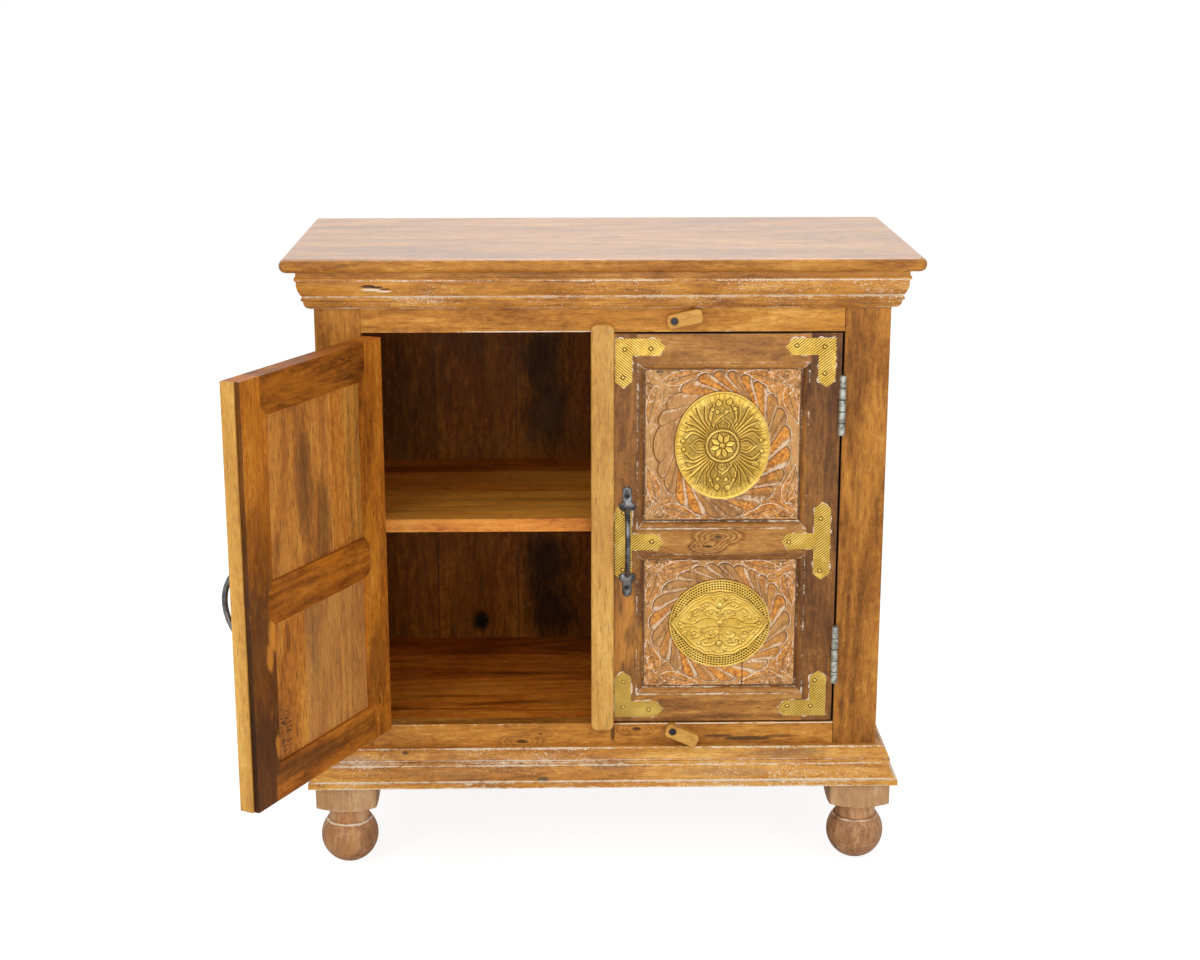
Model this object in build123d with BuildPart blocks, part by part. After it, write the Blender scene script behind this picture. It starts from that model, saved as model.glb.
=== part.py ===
from build123d import *
import os
from math import atan2, cos, degrees, pi, radians, sin

# Two-door cabinet in mango wood on turned feet. Millimetres, +Z up, +X to the
# right of someone facing the doors, -Y towards that person. The origin is on
# the floor, in the middle of the carcass. The right door is shut and the left
# door stands open; every joint is measured from there.

# ---- carcass -------------------------------------------------------------
carcass_width = 800
carcass_depth = 392
cabinet_height = 908
edge_ease = 1.2  # worn corner on the long edges of boards

# ---- top board -----------------------------------------------------------
top_thickness = 19
top_overhang = 41.5
top_corner_radius = 12
nosing_radius = 9

# ---- cornice moulding, from its bottom edge up ---------------------------
cornice_lip = 1.5
cornice_ovolo = 11
cornice_bead = 3
cornice_cove_height = 22
cornice_cove_reach = 6.5
cornice_cove_hollow = 2.3
cornice_fillet_reach = 2.5
cornice_fillet_height = 4.5
cornice_fascia_height = 9

# ---- base moulding, from its top edge down -------------------------------
base_ledge = 9
base_ovolo_reach = 8.5
base_ovolo_height = 14.5
base_quirk = 1.5
base_fillet_reach = 2
base_fillet_height = 4
base_cove_reach = 9
base_cove_height = 24
base_cove_hollow = 2.6
base_toe_reach = 3
base_toe_height = 9

# ---- face frame ----------------------------------------------------------
frame_thickness = 24
frame_stile_width = 64
frame_top_rail_height = 88.5
frame_bottom_rail_height = 89
frame_tenon_length = 30
frame_tenon_thickness = 8
joint_play = 0.1  # glue gap round every tenon and in every housing

# ---- sides, back, floor and shelf ----------------------------------------
side_thickness = 20
housing_depth = 8
back_thickness = 12
back_rebate = 10
back_board_count = 6
back_board_gap = 0.6
back_rail_thickness = 18
back_top_rail_height = 50
floor_thickness = 18
shelf_thickness = 19
shelf_top_height = 303  # above the floor board
shelf_setback = 2  # behind the shut doors, which stop against it
shelf_front_board = 152
shelf_middle_board = 118
cleat_size = 22
corner_block_size = 78
corner_block_height = 45

# ---- feet ----------------------------------------------------------------
foot_height = 131
foot_block = 88
foot_block_corner = 6
foot_inset = 9  # from the outer edge of the base moulding
back_foot_inset = 4
ball_radius = 42
ball_centre = 40
neck_radius = 29.5
neck_bottom = 67
neck_top = 87
shoulder_rise = 22

# ---- doors ---------------------------------------------------------------
door_thickness = 27
door_hinge_gap = 2
door_meeting_gap = 2
door_top_gap = 2.5
door_bottom_gap = 3
hinge_stile_width = 55
meeting_stile_width = 57
door_top_rail_height = 52
door_middle_rail_height = 58
door_bottom_rail_height = 51
lower_panel_height = 193
door_tenon_length = 24
left_door_open = 117
edge_strip_thickness = 4  # lighter lath nailed on the left door's free edge
edge_strip_width = 20

# ---- moulded inner edge of the door frames -------------------------------
sticking_width = 11
sticking_depth = 7.5
sticking_quirk = 1.2
sticking_step = 1.5
sticking_bulge = 2

# ---- carved panels -------------------------------------------------------
panel_inset = 9
panel_thickness = 14
panel_groove = 7
panel_tongue = 8
panel_play = 0.2
seam_width = 1.2  # V-shaped board seams on the back of the panels
seam_depth = 0.8
relief_height = 2.4
petal_count = 18
petal_radius = 17
upper_wreath_margin = (17.5, 6.5)  # from the panel's side and end edges
lower_wreath_margin = (11.5, 12.5)
upper_wreath_band = (25.5, 25.5)  # width of the ring at its sides and ends
lower_wreath_band = (26, 17.5)
medallion_thickness = 1.2
medallion_rim = 3
medallion_dome = 1.4

# ---- meeting strip on the right door -------------------------------------
strip_width = 32.5
strip_thickness = 11
strip_cover = 14  # width nailed on the right door, from its meeting edge
strip_top_overrun = 12
strip_bottom_overrun = 8
strip_end_radius = 9
strip_edge_radius = 3
strip_clearance = 0.35

# ---- brass brackets ------------------------------------------------------
bracket_thickness = 1.2
bracket_width = 24
bracket_reach = 70
bracket_point = 9
bracket_outer_margin = 9.5
bracket_meeting_margin = 1.5  # beside the meeting strip
bracket_end_margin = 7
tee_reach = 70
tee_height = 115

# ---- forged handles ------------------------------------------------------
handle_offset = 33  # from the door's meeting edge
handle_height = 496.5
handle_span = 97
handle_rise = 33
handle_end_radius = 22
handle_bar_radius = 4
handle_plate_thickness = 3
handle_lobe_radius = 6.5
handle_lobe_spread = 5.5
handle_tongue_radius = 6.7
handle_tongue_length = 22.5
handle_hole_radius = 2.4
handle_hole_offset = 7

# ---- butt hinges ---------------------------------------------------------
hinge_length = 85
hinge_end_margin = 60
knuckle_count = 5
knuckle_radius = 4.8
knuckle_gap = 0.4
knuckle_stand_off = 5.2
hinge_leaf_thickness = 1.8
hinge_leaf_width = 22
hinge_leaf_proud = 0.4
hinge_pin_radius = 2.2
hinge_pin_play = 0.05

# ---- wooden turn buttons -------------------------------------------------
button_reach = 40
button_tail = 10
button_width = 20
button_thickness = 13
button_corner_radius = 7
button_edge_radius = 1.5
upper_button_offset = 97  # pivot, from the door's meeting edge
lower_button_offset = 100
button_clearance = 0.4
upper_button_tilt = 12.5
lower_button_tilt = -24
screw_radius = 2.5
screw_play = 0.08
screw_head_radius = 5
screw_head_height = 3
screw_depth = 18
screw_sink = 1
button_sink_radius = 6.6

# ---- places worked out from the sizes above ------------------------------
front = -carcass_depth / 2
back = carcass_depth / 2
half_width = carcass_width / 2
top_underside = cabinet_height - top_thickness
cornice_height = (
    cornice_ovolo + 2 * cornice_bead + cornice_cove_height
    + cornice_fillet_height + cornice_fascia_height + 2
)
cornice_bottom = top_underside - cornice_height
base_height = (
    1 + base_ovolo_height + 2 * base_quirk + base_fillet_height
    + base_cove_height + base_toe_height
)
base_top = foot_height + base_height
base_reach = (
    base_ledge + base_ovolo_reach + base_fillet_reach - base_quirk
    + base_cove_reach + base_toe_reach
)
opening_half = half_width - frame_stile_width
opening_bottom = foot_height + frame_bottom_rail_height
opening_top = top_underside - frame_top_rail_height
inner_half = half_width - side_thickness
housed_half = inner_half + housing_depth - joint_play
back_inner = back - back_thickness
shelf_top = opening_bottom + shelf_top_height
shelf_bottom = shelf_top - shelf_thickness
shelf_front = front + door_thickness + shelf_setback
floor_bottom = opening_bottom - floor_thickness

door_left = door_meeting_gap / 2
door_right = opening_half - door_hinge_gap
door_bottom = opening_bottom + door_bottom_gap
door_top = opening_top - door_top_gap
panel_left = door_left + meeting_stile_width
panel_right = door_right - hinge_stile_width
lower_panel_bottom = door_bottom + door_bottom_rail_height
lower_panel_top = lower_panel_bottom + lower_panel_height
upper_panel_bottom = lower_panel_top + door_middle_rail_height
upper_panel_top = door_top - door_top_rail_height
panel_middle = (panel_left + panel_right) / 2
panel_fields = {
    "upper": (upper_panel_bottom, upper_panel_top),
    "lower": (lower_panel_bottom, lower_panel_top),
}
tongue_front = (door_thickness - panel_tongue) / 2 + 1
pin_x = opening_half - door_hinge_gap / 2
pin_y = front - knuckle_stand_off

os.makedirs("parts", exist_ok=True)


def save(shape, label):
    # One STEP file for each named piece.
    shape.label = label
    export_step(shape, f"parts/{label}.step")


def front_plane(depth):
    # A plane facing the viewer, at a depth behind the face of the frame.
    return Plane.XZ.offset(-front - depth)


def block(left, right, bottom, top, near, far, mode=Mode.ADD):
    # A box seen from the front, from depth near to depth far.
    with Locations(((left + right) / 2, front + (near + far) / 2, (bottom + top) / 2)):
        Box(abs(right - left), far - near, top - bottom, mode=mode)


def cut(left, right, bottom, top, near, far):
    # The same box, taken out of the piece being built.
    block(left, right, bottom, top, near, far, Mode.SUBTRACT)


# ---- top board: bull-nosed on the front and both sides --------------------
with BuildPart() as top_board:
    with BuildSketch(Plane.XY.offset(top_underside)):
        with Locations((0, (front - top_overhang + back) / 2)):
            Rectangle(carcass_width + 2 * top_overhang, carcass_depth + top_overhang)
    extrude(amount=top_thickness)
    fillet(top_board.edges().filter_by(Axis.Z).group_by(Axis.Y)[0], top_corner_radius)
    rim = top_board.edges().filter_by(lambda e: abs(e.tangent_at(0.5).Z) < 0.01)
    fillet(rim.filter_by(lambda e: e.center().Y < back - 1), nosing_radius)
save(top_board.part, "top_board")


# ---- mouldings: drawn as distance out and height, mitred at the corners ---
def cornice_outline():
    shoulder = cornice_lip + cornice_ovolo
    bead_bottom = cornice_bottom + cornice_ovolo + 1
    cove_bottom = bead_bottom + 2 * cornice_bead + 1
    cove_top = cove_bottom + cornice_cove_height
    cove_end = shoulder + cornice_bead / 2 + cornice_cove_reach
    fillet_end = cove_end + cornice_fillet_reach
    fascia_bottom = cove_top + cornice_fillet_height
    with BuildLine() as outline:
        Polyline((0, top_underside), (0, cornice_bottom), (cornice_lip, cornice_bottom))
        CenterArc((cornice_lip, cornice_bottom + cornice_ovolo), cornice_ovolo, 270, 90)
        Line((shoulder, bead_bottom - 1), (shoulder, bead_bottom))
        CenterArc((shoulder, bead_bottom + cornice_bead), cornice_bead, -90, 180)
        Polyline((shoulder, cove_bottom - 1), (shoulder + cornice_bead / 2, cove_bottom))
        SagittaArc(
            (shoulder + cornice_bead / 2, cove_bottom), (cove_end, cove_top),
            -cornice_cove_hollow,
        )
        Polyline(
            (cove_end, cove_top),
            (fillet_end, cove_top),
            (fillet_end, fascia_bottom),
            (cove_end + 0.5, fascia_bottom),
            (cove_end + 0.5, top_underside),
            (0, top_underside),
        )
    make_face(outline.edges())


def base_outline():
    ovolo_top = base_top - 1
    ovolo_end = base_ledge + base_ovolo_reach
    ovolo_bottom = ovolo_top - base_ovolo_height
    fillet_top = ovolo_bottom - 2 * base_quirk
    fillet_end = ovolo_end + base_fillet_reach
    fillet_bottom = fillet_top - base_fillet_height
    cove_start = fillet_end - base_quirk
    cove_end = cove_start + base_cove_reach
    cove_bottom = fillet_bottom - base_cove_height
    with BuildLine() as outline:
        Polyline((0, foot_height), (0, base_top), (base_ledge, base_top), (base_ledge, ovolo_top))
        SagittaArc((base_ledge, ovolo_top), (ovolo_end, ovolo_bottom), base_quirk)
        Polyline(
            (ovolo_end, ovolo_bottom),
            (ovolo_end - base_quirk, ovolo_bottom - base_quirk),
            (ovolo_end - base_quirk, fillet_top),
            (fillet_end, fillet_top),
            (fillet_end, fillet_bottom),
            (cove_start, fillet_bottom),
        )
        SagittaArc((cove_start, fillet_bottom), (cove_end, cove_bottom), -base_cove_hollow)
        Polyline(
            (cove_end, cove_bottom),
            (cove_end + base_toe_reach, cove_bottom - 1),
            (cove_end + base_toe_reach, foot_height),
            (0, foot_height),
        )
    make_face(outline.edges())


front_section = Plane(origin=(0, front, 0), x_dir=(0, -1, 0), z_dir=(-1, 0, 0))
right_section = Plane(origin=(half_width, back, 0), x_dir=(1, 0, 0), z_dir=(0, -1, 0))
right_mitre = Plane(origin=(half_width, front, 0), z_dir=(1, 1, 0))
left_mitre = Plane(origin=(-half_width, front, 0), z_dir=(-1, 1, 0))

for label, outline in (("cornice", cornice_outline), ("base_moulding", base_outline)):
    with BuildPart() as front_length:
        with BuildSketch(front_section):
            outline()
        extrude(amount=carcass_width, both=True)
        split(bisect_by=right_mitre, keep=Keep.BOTTOM)
        split(bisect_by=left_mitre, keep=Keep.BOTTOM)
    save(front_length.part, f"{label}_front")
    with BuildPart() as side_length:
        with BuildSketch(right_section):
            outline()
        extrude(amount=2 * carcass_depth)
        split(bisect_by=right_mitre, keep=Keep.TOP)
    save(side_length.part, f"{label}_right")
    save(mirror(side_length.part, about=Plane.YZ), f"{label}_left")


# ---- face frame: rails tenoned into the stiles ----------------------------
tenon_near = (frame_thickness - frame_tenon_thickness) / 2
tenon_far = tenon_near + frame_tenon_thickness
rail_spans = {
    "top_rail": (opening_top, top_underside),
    "bottom_rail": (foot_height, opening_bottom),
}
hinge_places = (
    (door_top - hinge_end_margin - hinge_length, door_top - hinge_end_margin),
    (door_bottom + hinge_end_margin, door_bottom + hinge_end_margin + hinge_length),
)
frame_leaf_inner = opening_half - hinge_leaf_proud
frame_leaf_outer = frame_leaf_inner + hinge_leaf_thickness

with BuildPart() as right_frame_stile:
    block(opening_half, half_width, foot_height, top_underside, 0, frame_thickness)
    chamfer(
        right_frame_stile.edges().filter_by(Axis.Z).filter_by(lambda e: e.center().Y < front + 1),
        edge_ease,
    )
    for bottom, top in rail_spans.values():
        cut(
            opening_half, opening_half + frame_tenon_length + joint_play,
            bottom + frame_tenon_thickness - joint_play,
            top - frame_tenon_thickness + joint_play,
            tenon_near - joint_play, tenon_far + joint_play,
        )
    for bottom, top in hinge_places:
        cut(opening_half, frame_leaf_outer, bottom, top, 0, hinge_leaf_width)
save(right_frame_stile.part, "right_frame_stile")
save(mirror(right_frame_stile.part, about=Plane.YZ), "left_frame_stile")


# ---- turn button and its screw, drawn pointing along +X -------------------
def tip_height(tilt):
    # How far the tilted button reaches above (or below) its pivot.
    along = button_reach - button_corner_radius
    across = button_width / 2 - button_corner_radius
    angle = radians(abs(tilt))
    return along * sin(angle) + across * cos(angle) + button_corner_radius


button_places = {
    "upper": (
        door_left + upper_button_offset,
        cornice_bottom - button_clearance - tip_height(upper_button_tilt),
        upper_button_tilt,
    ),
    "lower": (
        door_left + lower_button_offset,
        base_top + button_clearance + tip_height(lower_button_tilt),
        lower_button_tilt,
    ),
}
button_front = -button_clearance - button_thickness

for label, (pivot_x, pivot_height, tilt) in button_places.items():
    with BuildPart() as turn_button:
        with BuildSketch(front_plane(-button_clearance)):
            with Locations(Location((pivot_x, pivot_height), tilt)):
                with Locations(((button_reach - button_tail) / 2, 0)):
                    RectangleRounded(
                        button_reach + button_tail, button_width, button_corner_radius
                    )
        extrude(amount=button_thickness)
        fillet(turn_button.edges().group_by(Axis.Y)[0], button_edge_radius)
        with Locations(front_plane(button_front).location):
            with Locations((pivot_x, pivot_height)):
                CounterSinkHole(screw_radius + screw_play, button_sink_radius)
    save(turn_button.part, f"{label}_turn_button")

with BuildPart() as turn_screws:
    for pivot_x, pivot_height, tilt in button_places.values():
        head_top = button_front + screw_sink
        with BuildSketch(front_plane(head_top)):
            with Locations((pivot_x, pivot_height)):
                Circle(screw_radius)
        extrude(amount=head_top - screw_depth)
        with Locations(front_plane(head_top).location):
            with Locations((pivot_x, pivot_height, -screw_head_height / 2)):
                Cone(screw_radius, screw_head_radius, screw_head_height)
save(turn_screws.part, "turn_screws")

for label, (bottom, top) in rail_spans.items():
    with BuildPart() as rail:
        block(-opening_half, opening_half, bottom, top, 0, frame_thickness)
        for side in (-1, 1):
            block(
                side * opening_half, side * (opening_half + frame_tenon_length),
                bottom + frame_tenon_thickness, top - frame_tenon_thickness,
                tenon_near, tenon_far,
            )
        for pivot_x, pivot_height, tilt in button_places.values():
            if bottom < pivot_height < top:
                with BuildSketch(front_plane(0)):
                    with Locations((pivot_x, pivot_height)):
                        Circle(screw_radius + screw_play)
                extrude(amount=-screw_depth - joint_play, mode=Mode.SUBTRACT)
    save(rail.part, label)


# ---- sides with housings for floor and shelf, rebated for the back --------
with BuildPart() as right_side_panel:
    block(inner_half, half_width, foot_height, top_underside, frame_thickness, carcass_depth)
    for bottom, top, near in (
        (floor_bottom, opening_bottom, frame_thickness),
        (shelf_bottom, shelf_top, shelf_front - front - joint_play),
    ):
        cut(
            inner_half, inner_half + housing_depth, bottom - joint_play, top + joint_play,
            near, carcass_depth - back_thickness,
        )
    cut(
        inner_half, inner_half + back_rebate, foot_height, top_underside,
        carcass_depth - back_thickness, carcass_depth,
    )
save(right_side_panel.part, "right_side_panel")
save(mirror(right_side_panel.part, about=Plane.YZ), "left_side_panel")

# ---- back: upright boards nailed in the rebates and to two rails ----------
back_half = inner_half + back_rebate - joint_play
back_board_width = (2 * back_half - (back_board_count - 1) * back_board_gap) / back_board_count
back_near = carcass_depth - back_thickness
with BuildPart() as back_boards:
    for number in range(back_board_count):
        start = -back_half + number * (back_board_width + back_board_gap)
        block(
            start, start + back_board_width, foot_height, top_underside,
            back_near, carcass_depth,
        )
save(back_boards.part, "back_boards")

rail_near = back_near - back_rail_thickness
for label, bottom, top in (
    ("back_top_rail", top_underside - back_top_rail_height, top_underside),
    ("back_bottom_rail", foot_height, floor_bottom),
):
    with BuildPart() as back_rail:
        block(-inner_half, inner_half, bottom, top, rail_near, back_near)
    save(back_rail.part, label)

# ---- floor and shelf: boards side by side, ends in the side housings ------
shelf_near = shelf_front - front
shelf_seams = (
    shelf_near, shelf_near + shelf_front_board,
    shelf_near + shelf_front_board + shelf_middle_board, back_near,
)
with BuildPart() as shelf_boards:
    for near, far in zip(shelf_seams, shelf_seams[1:]):
        block(-housed_half, housed_half, shelf_bottom, shelf_top, near, far - joint_play)
save(shelf_boards.part, "shelf_boards")

floor_seams = (
    frame_thickness, frame_thickness + shelf_front_board,
    frame_thickness + shelf_front_board + shelf_middle_board, back_near,
)
with BuildPart() as floor_boards:
    for near, far in zip(floor_seams, floor_seams[1:]):
        block(-housed_half, housed_half, floor_bottom, opening_bottom, near, far - joint_play)
save(floor_boards.part, "floor_boards")

# ---- cleats under the top and the floor, glue blocks over the feet --------
with BuildPart() as top_cleats:
    for side in (-1, 1):
        block(
            side * (inner_half - cleat_size), side * inner_half,
            top_underside - cleat_size, top_underside, frame_thickness, rail_near,
        )
save(top_cleats.part, "top_cleats")

with BuildPart() as floor_cleat:
    block(
        -inner_half, inner_half, floor_bottom - cleat_size, floor_bottom,
        frame_thickness, frame_thickness + cleat_size,
    )
save(floor_cleat.part, "floor_cleat")

with BuildPart() as foot_corner_blocks:
    for side in (-1, 1):
        for near in (frame_thickness, rail_near - corner_block_size):
            block(
                side * (inner_half - corner_block_size), side * inner_half,
                foot_height, foot_height + corner_block_height,
                near, near + corner_block_size,
            )
save(foot_corner_blocks.part, "foot_corner_blocks")

# ---- turned feet: a ball and neck under a square block --------------------
foot_x = half_width + base_reach - foot_inset - foot_block / 2
front_foot_y = front - base_reach + foot_inset + foot_block / 2
back_foot_y = back - back_foot_inset - foot_block / 2
contact_radius = (ball_radius**2 - ball_centre**2) ** 0.5
ball_top_radius = (ball_radius**2 - (neck_bottom - ball_centre) ** 2) ** 0.5
block_diagonal = foot_block * 2**0.5 / 2 + 1
corner_rise = shoulder_rise * (block_diagonal - neck_radius) / block_diagonal

for label, foot_place in {
    "foot_front_left": (-foot_x, front_foot_y),
    "foot_front_right": (foot_x, front_foot_y),
    "foot_back_left": (-foot_x, back_foot_y),
    "foot_back_right": (foot_x, back_foot_y),
}.items():
    turning = Plane(origin=(*foot_place, 0), x_dir=(1, 0, 0), z_dir=(0, -1, 0))
    with BuildPart() as foot:
        with BuildSketch(turning):
            with BuildLine():
                Line((0, 0), (contact_radius, 0))
                ThreePointArc(
                    (contact_radius, 0), (ball_radius, ball_centre), (ball_top_radius, neck_bottom)
                )
                Polyline(
                    (ball_top_radius, neck_bottom),
                    (neck_radius, neck_bottom + 0.5),
                    (neck_radius, neck_top),
                    (block_diagonal, neck_top + corner_rise),
                    (block_diagonal, foot_height),
                    (0, foot_height),
                    (0, 0),
                )
            make_face()
        revolve(axis=Axis(turning.origin, (0, 0, 1)))
        with BuildSketch():
            with Locations(foot_place):
                RectangleRounded(foot_block, foot_block, foot_block_corner)
        extrude(amount=foot_height, mode=Mode.INTERSECT)
    save(foot.part, label)


# ---- doors: the right one is drawn shut, the left one is its mirror image --
# Every piece that both doors share goes into this list.
door_pieces = {}


def sticking_cutter(bottom, top):
    # What the moulding plane takes off round one panel opening.
    with BuildPart() as cutter:
        with BuildLine(front_plane(0)) as path:
            Polyline(
                (panel_middle, bottom),
                (panel_right, bottom),
                (panel_right, top),
                (panel_left, top),
                (panel_left, bottom),
                (panel_middle, bottom),
            )
        with BuildSketch(
            Plane(origin=(panel_middle, front, bottom), x_dir=(0, 0, -1), z_dir=(1, 0, 0))
        ):
            with BuildLine():
                Polyline(
                    (-1, sticking_depth),
                    (-1, -1),
                    (sticking_width, -1),
                    (sticking_width, sticking_quirk),
                    (sticking_width - sticking_quirk, sticking_quirk),
                )
                SagittaArc(
                    (sticking_width - sticking_quirk, sticking_quirk),
                    (sticking_step, sticking_depth - sticking_quirk),
                    sticking_bulge,
                )
                Polyline(
                    (sticking_step, sticking_depth - sticking_quirk),
                    (sticking_step, sticking_depth),
                    (-1, sticking_depth),
                )
            make_face()
        sweep(path=path.line, transition=Transition.RIGHT)
    return cutter.part


sticking = {field: sticking_cutter(*span) for field, span in panel_fields.items()}


shoulder_left = panel_left - sticking_width
shoulder_right = panel_right + sticking_width
tongue_back = tongue_front + panel_tongue
# Height spans of the three rails, without and with their moulded edges.
door_rails = {
    "top_rail": (upper_panel_top + sticking_width, door_top),
    "middle_rail": (lower_panel_top + sticking_width, upper_panel_bottom - sticking_width),
    "bottom_rail": (door_bottom, lower_panel_bottom - sticking_width),
}
rail_edges = {
    "top_rail": ((upper_panel_top, 1),),
    "middle_rail": ((upper_panel_bottom, -1), (lower_panel_top, 1)),
    "bottom_rail": ((lower_panel_bottom, -1),),
}
tenon_margin = 6
door_leaf_outer = door_right + hinge_leaf_proud
door_leaf_inner = door_leaf_outer - hinge_leaf_thickness


def door_frame_cuts():
    # Moulding and panel grooves, the same for every member they cross.
    for field, (bottom, top) in panel_fields.items():
        add(sticking[field], mode=Mode.SUBTRACT)
        cut(
            panel_left - panel_groove, panel_right + panel_groove,
            bottom - panel_groove, top + panel_groove,
            tongue_front - panel_play, tongue_back + panel_play,
        )


def door_stile(outer, inner, toward, hinged):
    # Full height, cut back at the rails, mitred where the moulding turns.
    shoulder = inner - toward * sticking_width
    with BuildPart() as stile:
        with BuildSketch(front_plane(0)):
            with Locations(((outer + shoulder) / 2, (door_bottom + door_top) / 2)):
                Rectangle(abs(outer - shoulder), door_top - door_bottom)
            for bottom, top in panel_fields.values():
                with BuildLine():
                    Polyline(
                        (shoulder, bottom - sticking_width),
                        (inner, bottom),
                        (inner, top),
                        (shoulder, top + sticking_width),
                        (shoulder, bottom - sticking_width),
                    )
                make_face()
        extrude(amount=-door_thickness)
        chamfer(
            stile.edges().filter_by(Axis.Z).filter_by(lambda e: abs(e.center().X - outer) < 0.1),
            edge_ease / 2,
        )
        door_frame_cuts()
        for bottom, top in door_rails.values():
            cut(
                shoulder, shoulder - toward * (door_tenon_length + joint_play),
                bottom + tenon_margin - joint_play, top - tenon_margin + joint_play,
                tongue_front - joint_play, tongue_back + joint_play,
            )
        if hinged:
            for bottom, top in hinge_places:
                cut(door_leaf_inner, door_right, bottom, top, 0, hinge_leaf_width)
    return stile.part


door_pieces["hinge_stile"] = door_stile(door_right, panel_right, -1, True)
right_meeting_stile = door_stile(door_left, panel_left, 1, False)
left_meeting_stile = door_stile(door_left + edge_strip_thickness, panel_left, 1, False)

for label, (bottom, top) in door_rails.items():
    with BuildPart() as door_rail:
        with BuildSketch(front_plane(0)):
            with Locations(((shoulder_left + shoulder_right) / 2, (bottom + top) / 2)):
                Rectangle(shoulder_right - shoulder_left, top - bottom)
            for edge, toward in rail_edges[label]:
                root = edge + toward * sticking_width
                with BuildLine():
                    Polyline(
                        (shoulder_left, root),
                        (panel_left, edge),
                        (panel_right, edge),
                        (shoulder_right, root),
                        (shoulder_left, root),
                    )
                make_face()
        extrude(amount=-door_thickness)
        door_frame_cuts()
        for left, right in (
            (shoulder_left - door_tenon_length, shoulder_left),
            (shoulder_right, shoulder_right + door_tenon_length),
        ):
            block(left, right, bottom + tenon_margin, top - tenon_margin, tongue_front, tongue_back)
    door_pieces[f"door_{label}"] = door_rail.part


# ---- carved panels and their embossed brass medallions --------------------
def wreath_reach(bottom, top, margin):
    return (panel_right - panel_left) / 2 - margin[0], (top - bottom) / 2 - margin[1]


def carved_panel(bottom, top, reach):
    middle = (bottom + top) / 2
    slack = panel_groove - panel_play
    with BuildPart() as panel:
        block(
            panel_left - slack, panel_right + slack, bottom - slack, top + slack,
            tongue_front, tongue_back,
        )
        for near, far in ((panel_inset, tongue_front), (tongue_back, panel_inset + panel_thickness)):
            block(
                panel_left + panel_play, panel_right - panel_play,
                bottom + panel_play, top - panel_play, near, far,
            )
        # Scalloped wreath: a ring of petals round a flat oval.
        ring = (reach[0] - petal_radius, reach[1] - petal_radius)
        with BuildSketch(front_plane(panel_inset)):
            with Locations((panel_middle, middle)):
                Ellipse(*ring)
            for number in range(petal_count):
                angle = 2 * pi * number / petal_count
                with Locations(
                    (panel_middle + ring[0] * cos(angle), middle + ring[1] * sin(angle))
                ):
                    Circle(petal_radius)
        extrude(amount=relief_height)
        # Seams between the three boards that the panel is glued up from.
        for seam in (-1, 1):
            seam_x = panel_middle + seam * (panel_right - panel_left) / 6
            with BuildSketch(Plane.XY.offset(bottom - slack)):
                with Locations((seam_x, front + panel_inset + panel_thickness)):
                    Rectangle(seam_width, 2 * seam_depth)
            extrude(amount=top - bottom + 2 * slack, mode=Mode.SUBTRACT)
    return panel.part


def medallion(bottom, top, reach, band):
    half_across = reach[0] - band[0]
    half_up = reach[1] - band[1]
    seat = panel_inset - relief_height
    with BuildPart() as plate:
        with BuildSketch(front_plane(seat)):
            with Locations((panel_middle, (bottom + top) / 2)):
                Ellipse(half_across, half_up)
        extrude(amount=medallion_thickness)
        for rise, inset in ((0, medallion_rim), (medallion_dome, 3 * medallion_rim)):
            with BuildSketch(front_plane(seat - medallion_thickness - rise)):
                with Locations((panel_middle, (bottom + top) / 2)):
                    Ellipse(half_across - inset, half_up - inset)
        loft()
    return plate.part


for field, margin, band in (
    ("upper", upper_wreath_margin, upper_wreath_band),
    ("lower", lower_wreath_margin, lower_wreath_band),
):
    span = panel_fields[field]
    reach = wreath_reach(*span, margin)
    door_pieces[f"{field}_carved_panel"] = carved_panel(*span, reach)
    door_pieces[f"{field}_medallion"] = medallion(*span, reach, band)


# ---- brass brackets with pointed arms -------------------------------------
def arm(start, direction, length):
    # A flat bar with a pointed end; start is the middle of its square end.
    along = Vector(*direction)
    across = Vector(-direction[1], direction[0]) * (bracket_width / 2)
    origin = Vector(*start)
    tip = origin + along * length
    neck = origin + along * (length - bracket_point)
    with BuildLine() as outline:
        Polyline(
            origin + across, neck + across, tip, neck - across, origin - across,
            origin + across,
        )
    make_face(outline.edges())


def door_brackets(meeting_side):
    # A bracket on each corner and a tee on each end of the middle rail.
    half_bar = bracket_width / 2
    tee_middle = (lower_panel_top + upper_panel_bottom) / 2
    high = door_top - bracket_end_margin
    low = door_bottom + bracket_end_margin
    with BuildPart() as brackets:
        for x, across in (
            (meeting_side + bracket_meeting_margin, 1),
            (door_right - bracket_outer_margin, -1),
        ):
            bar_x = x + across * half_bar
            for z, up in ((high, -1), (low, 1)):
                with BuildSketch(front_plane(0)):
                    arm((x, z + up * half_bar), (across, 0), bracket_reach)
                    arm((bar_x, z), (0, up), bracket_reach)
                extrude(amount=bracket_thickness)
            with BuildSketch(front_plane(0)):
                arm((x, tee_middle), (across, 0), tee_reach)
                arm((bar_x, tee_middle), (0, 1), tee_height / 2)
                arm((bar_x, tee_middle), (0, -1), tee_height / 2)
            extrude(amount=bracket_thickness)
    return brackets.part


# The strip covers more of the left door than it is nailed to on the right one.
strip_right = door_left + strip_cover
strip_left = strip_right - strip_width
right_brackets = door_brackets(strip_right)
left_brackets = door_brackets(-strip_left)

# ---- forged handle: a bowed bar between two three-lobed plates -------------
handle_x = door_left + handle_offset
half_span = handle_span / 2
# Radius of the long middle arc that meets both end arcs without a kink.
handle_arch_radius = (
    half_span**2 + handle_rise**2 - 2 * half_span * handle_end_radius
) / (2 * (handle_rise - handle_end_radius))
end_turn = degrees(
    atan2(handle_arch_radius - handle_rise, half_span - handle_end_radius)
)

bar_side = Plane(origin=(handle_x, front, handle_height), x_dir=(0, 0, 1), z_dir=(1, 0, 0))


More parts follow.
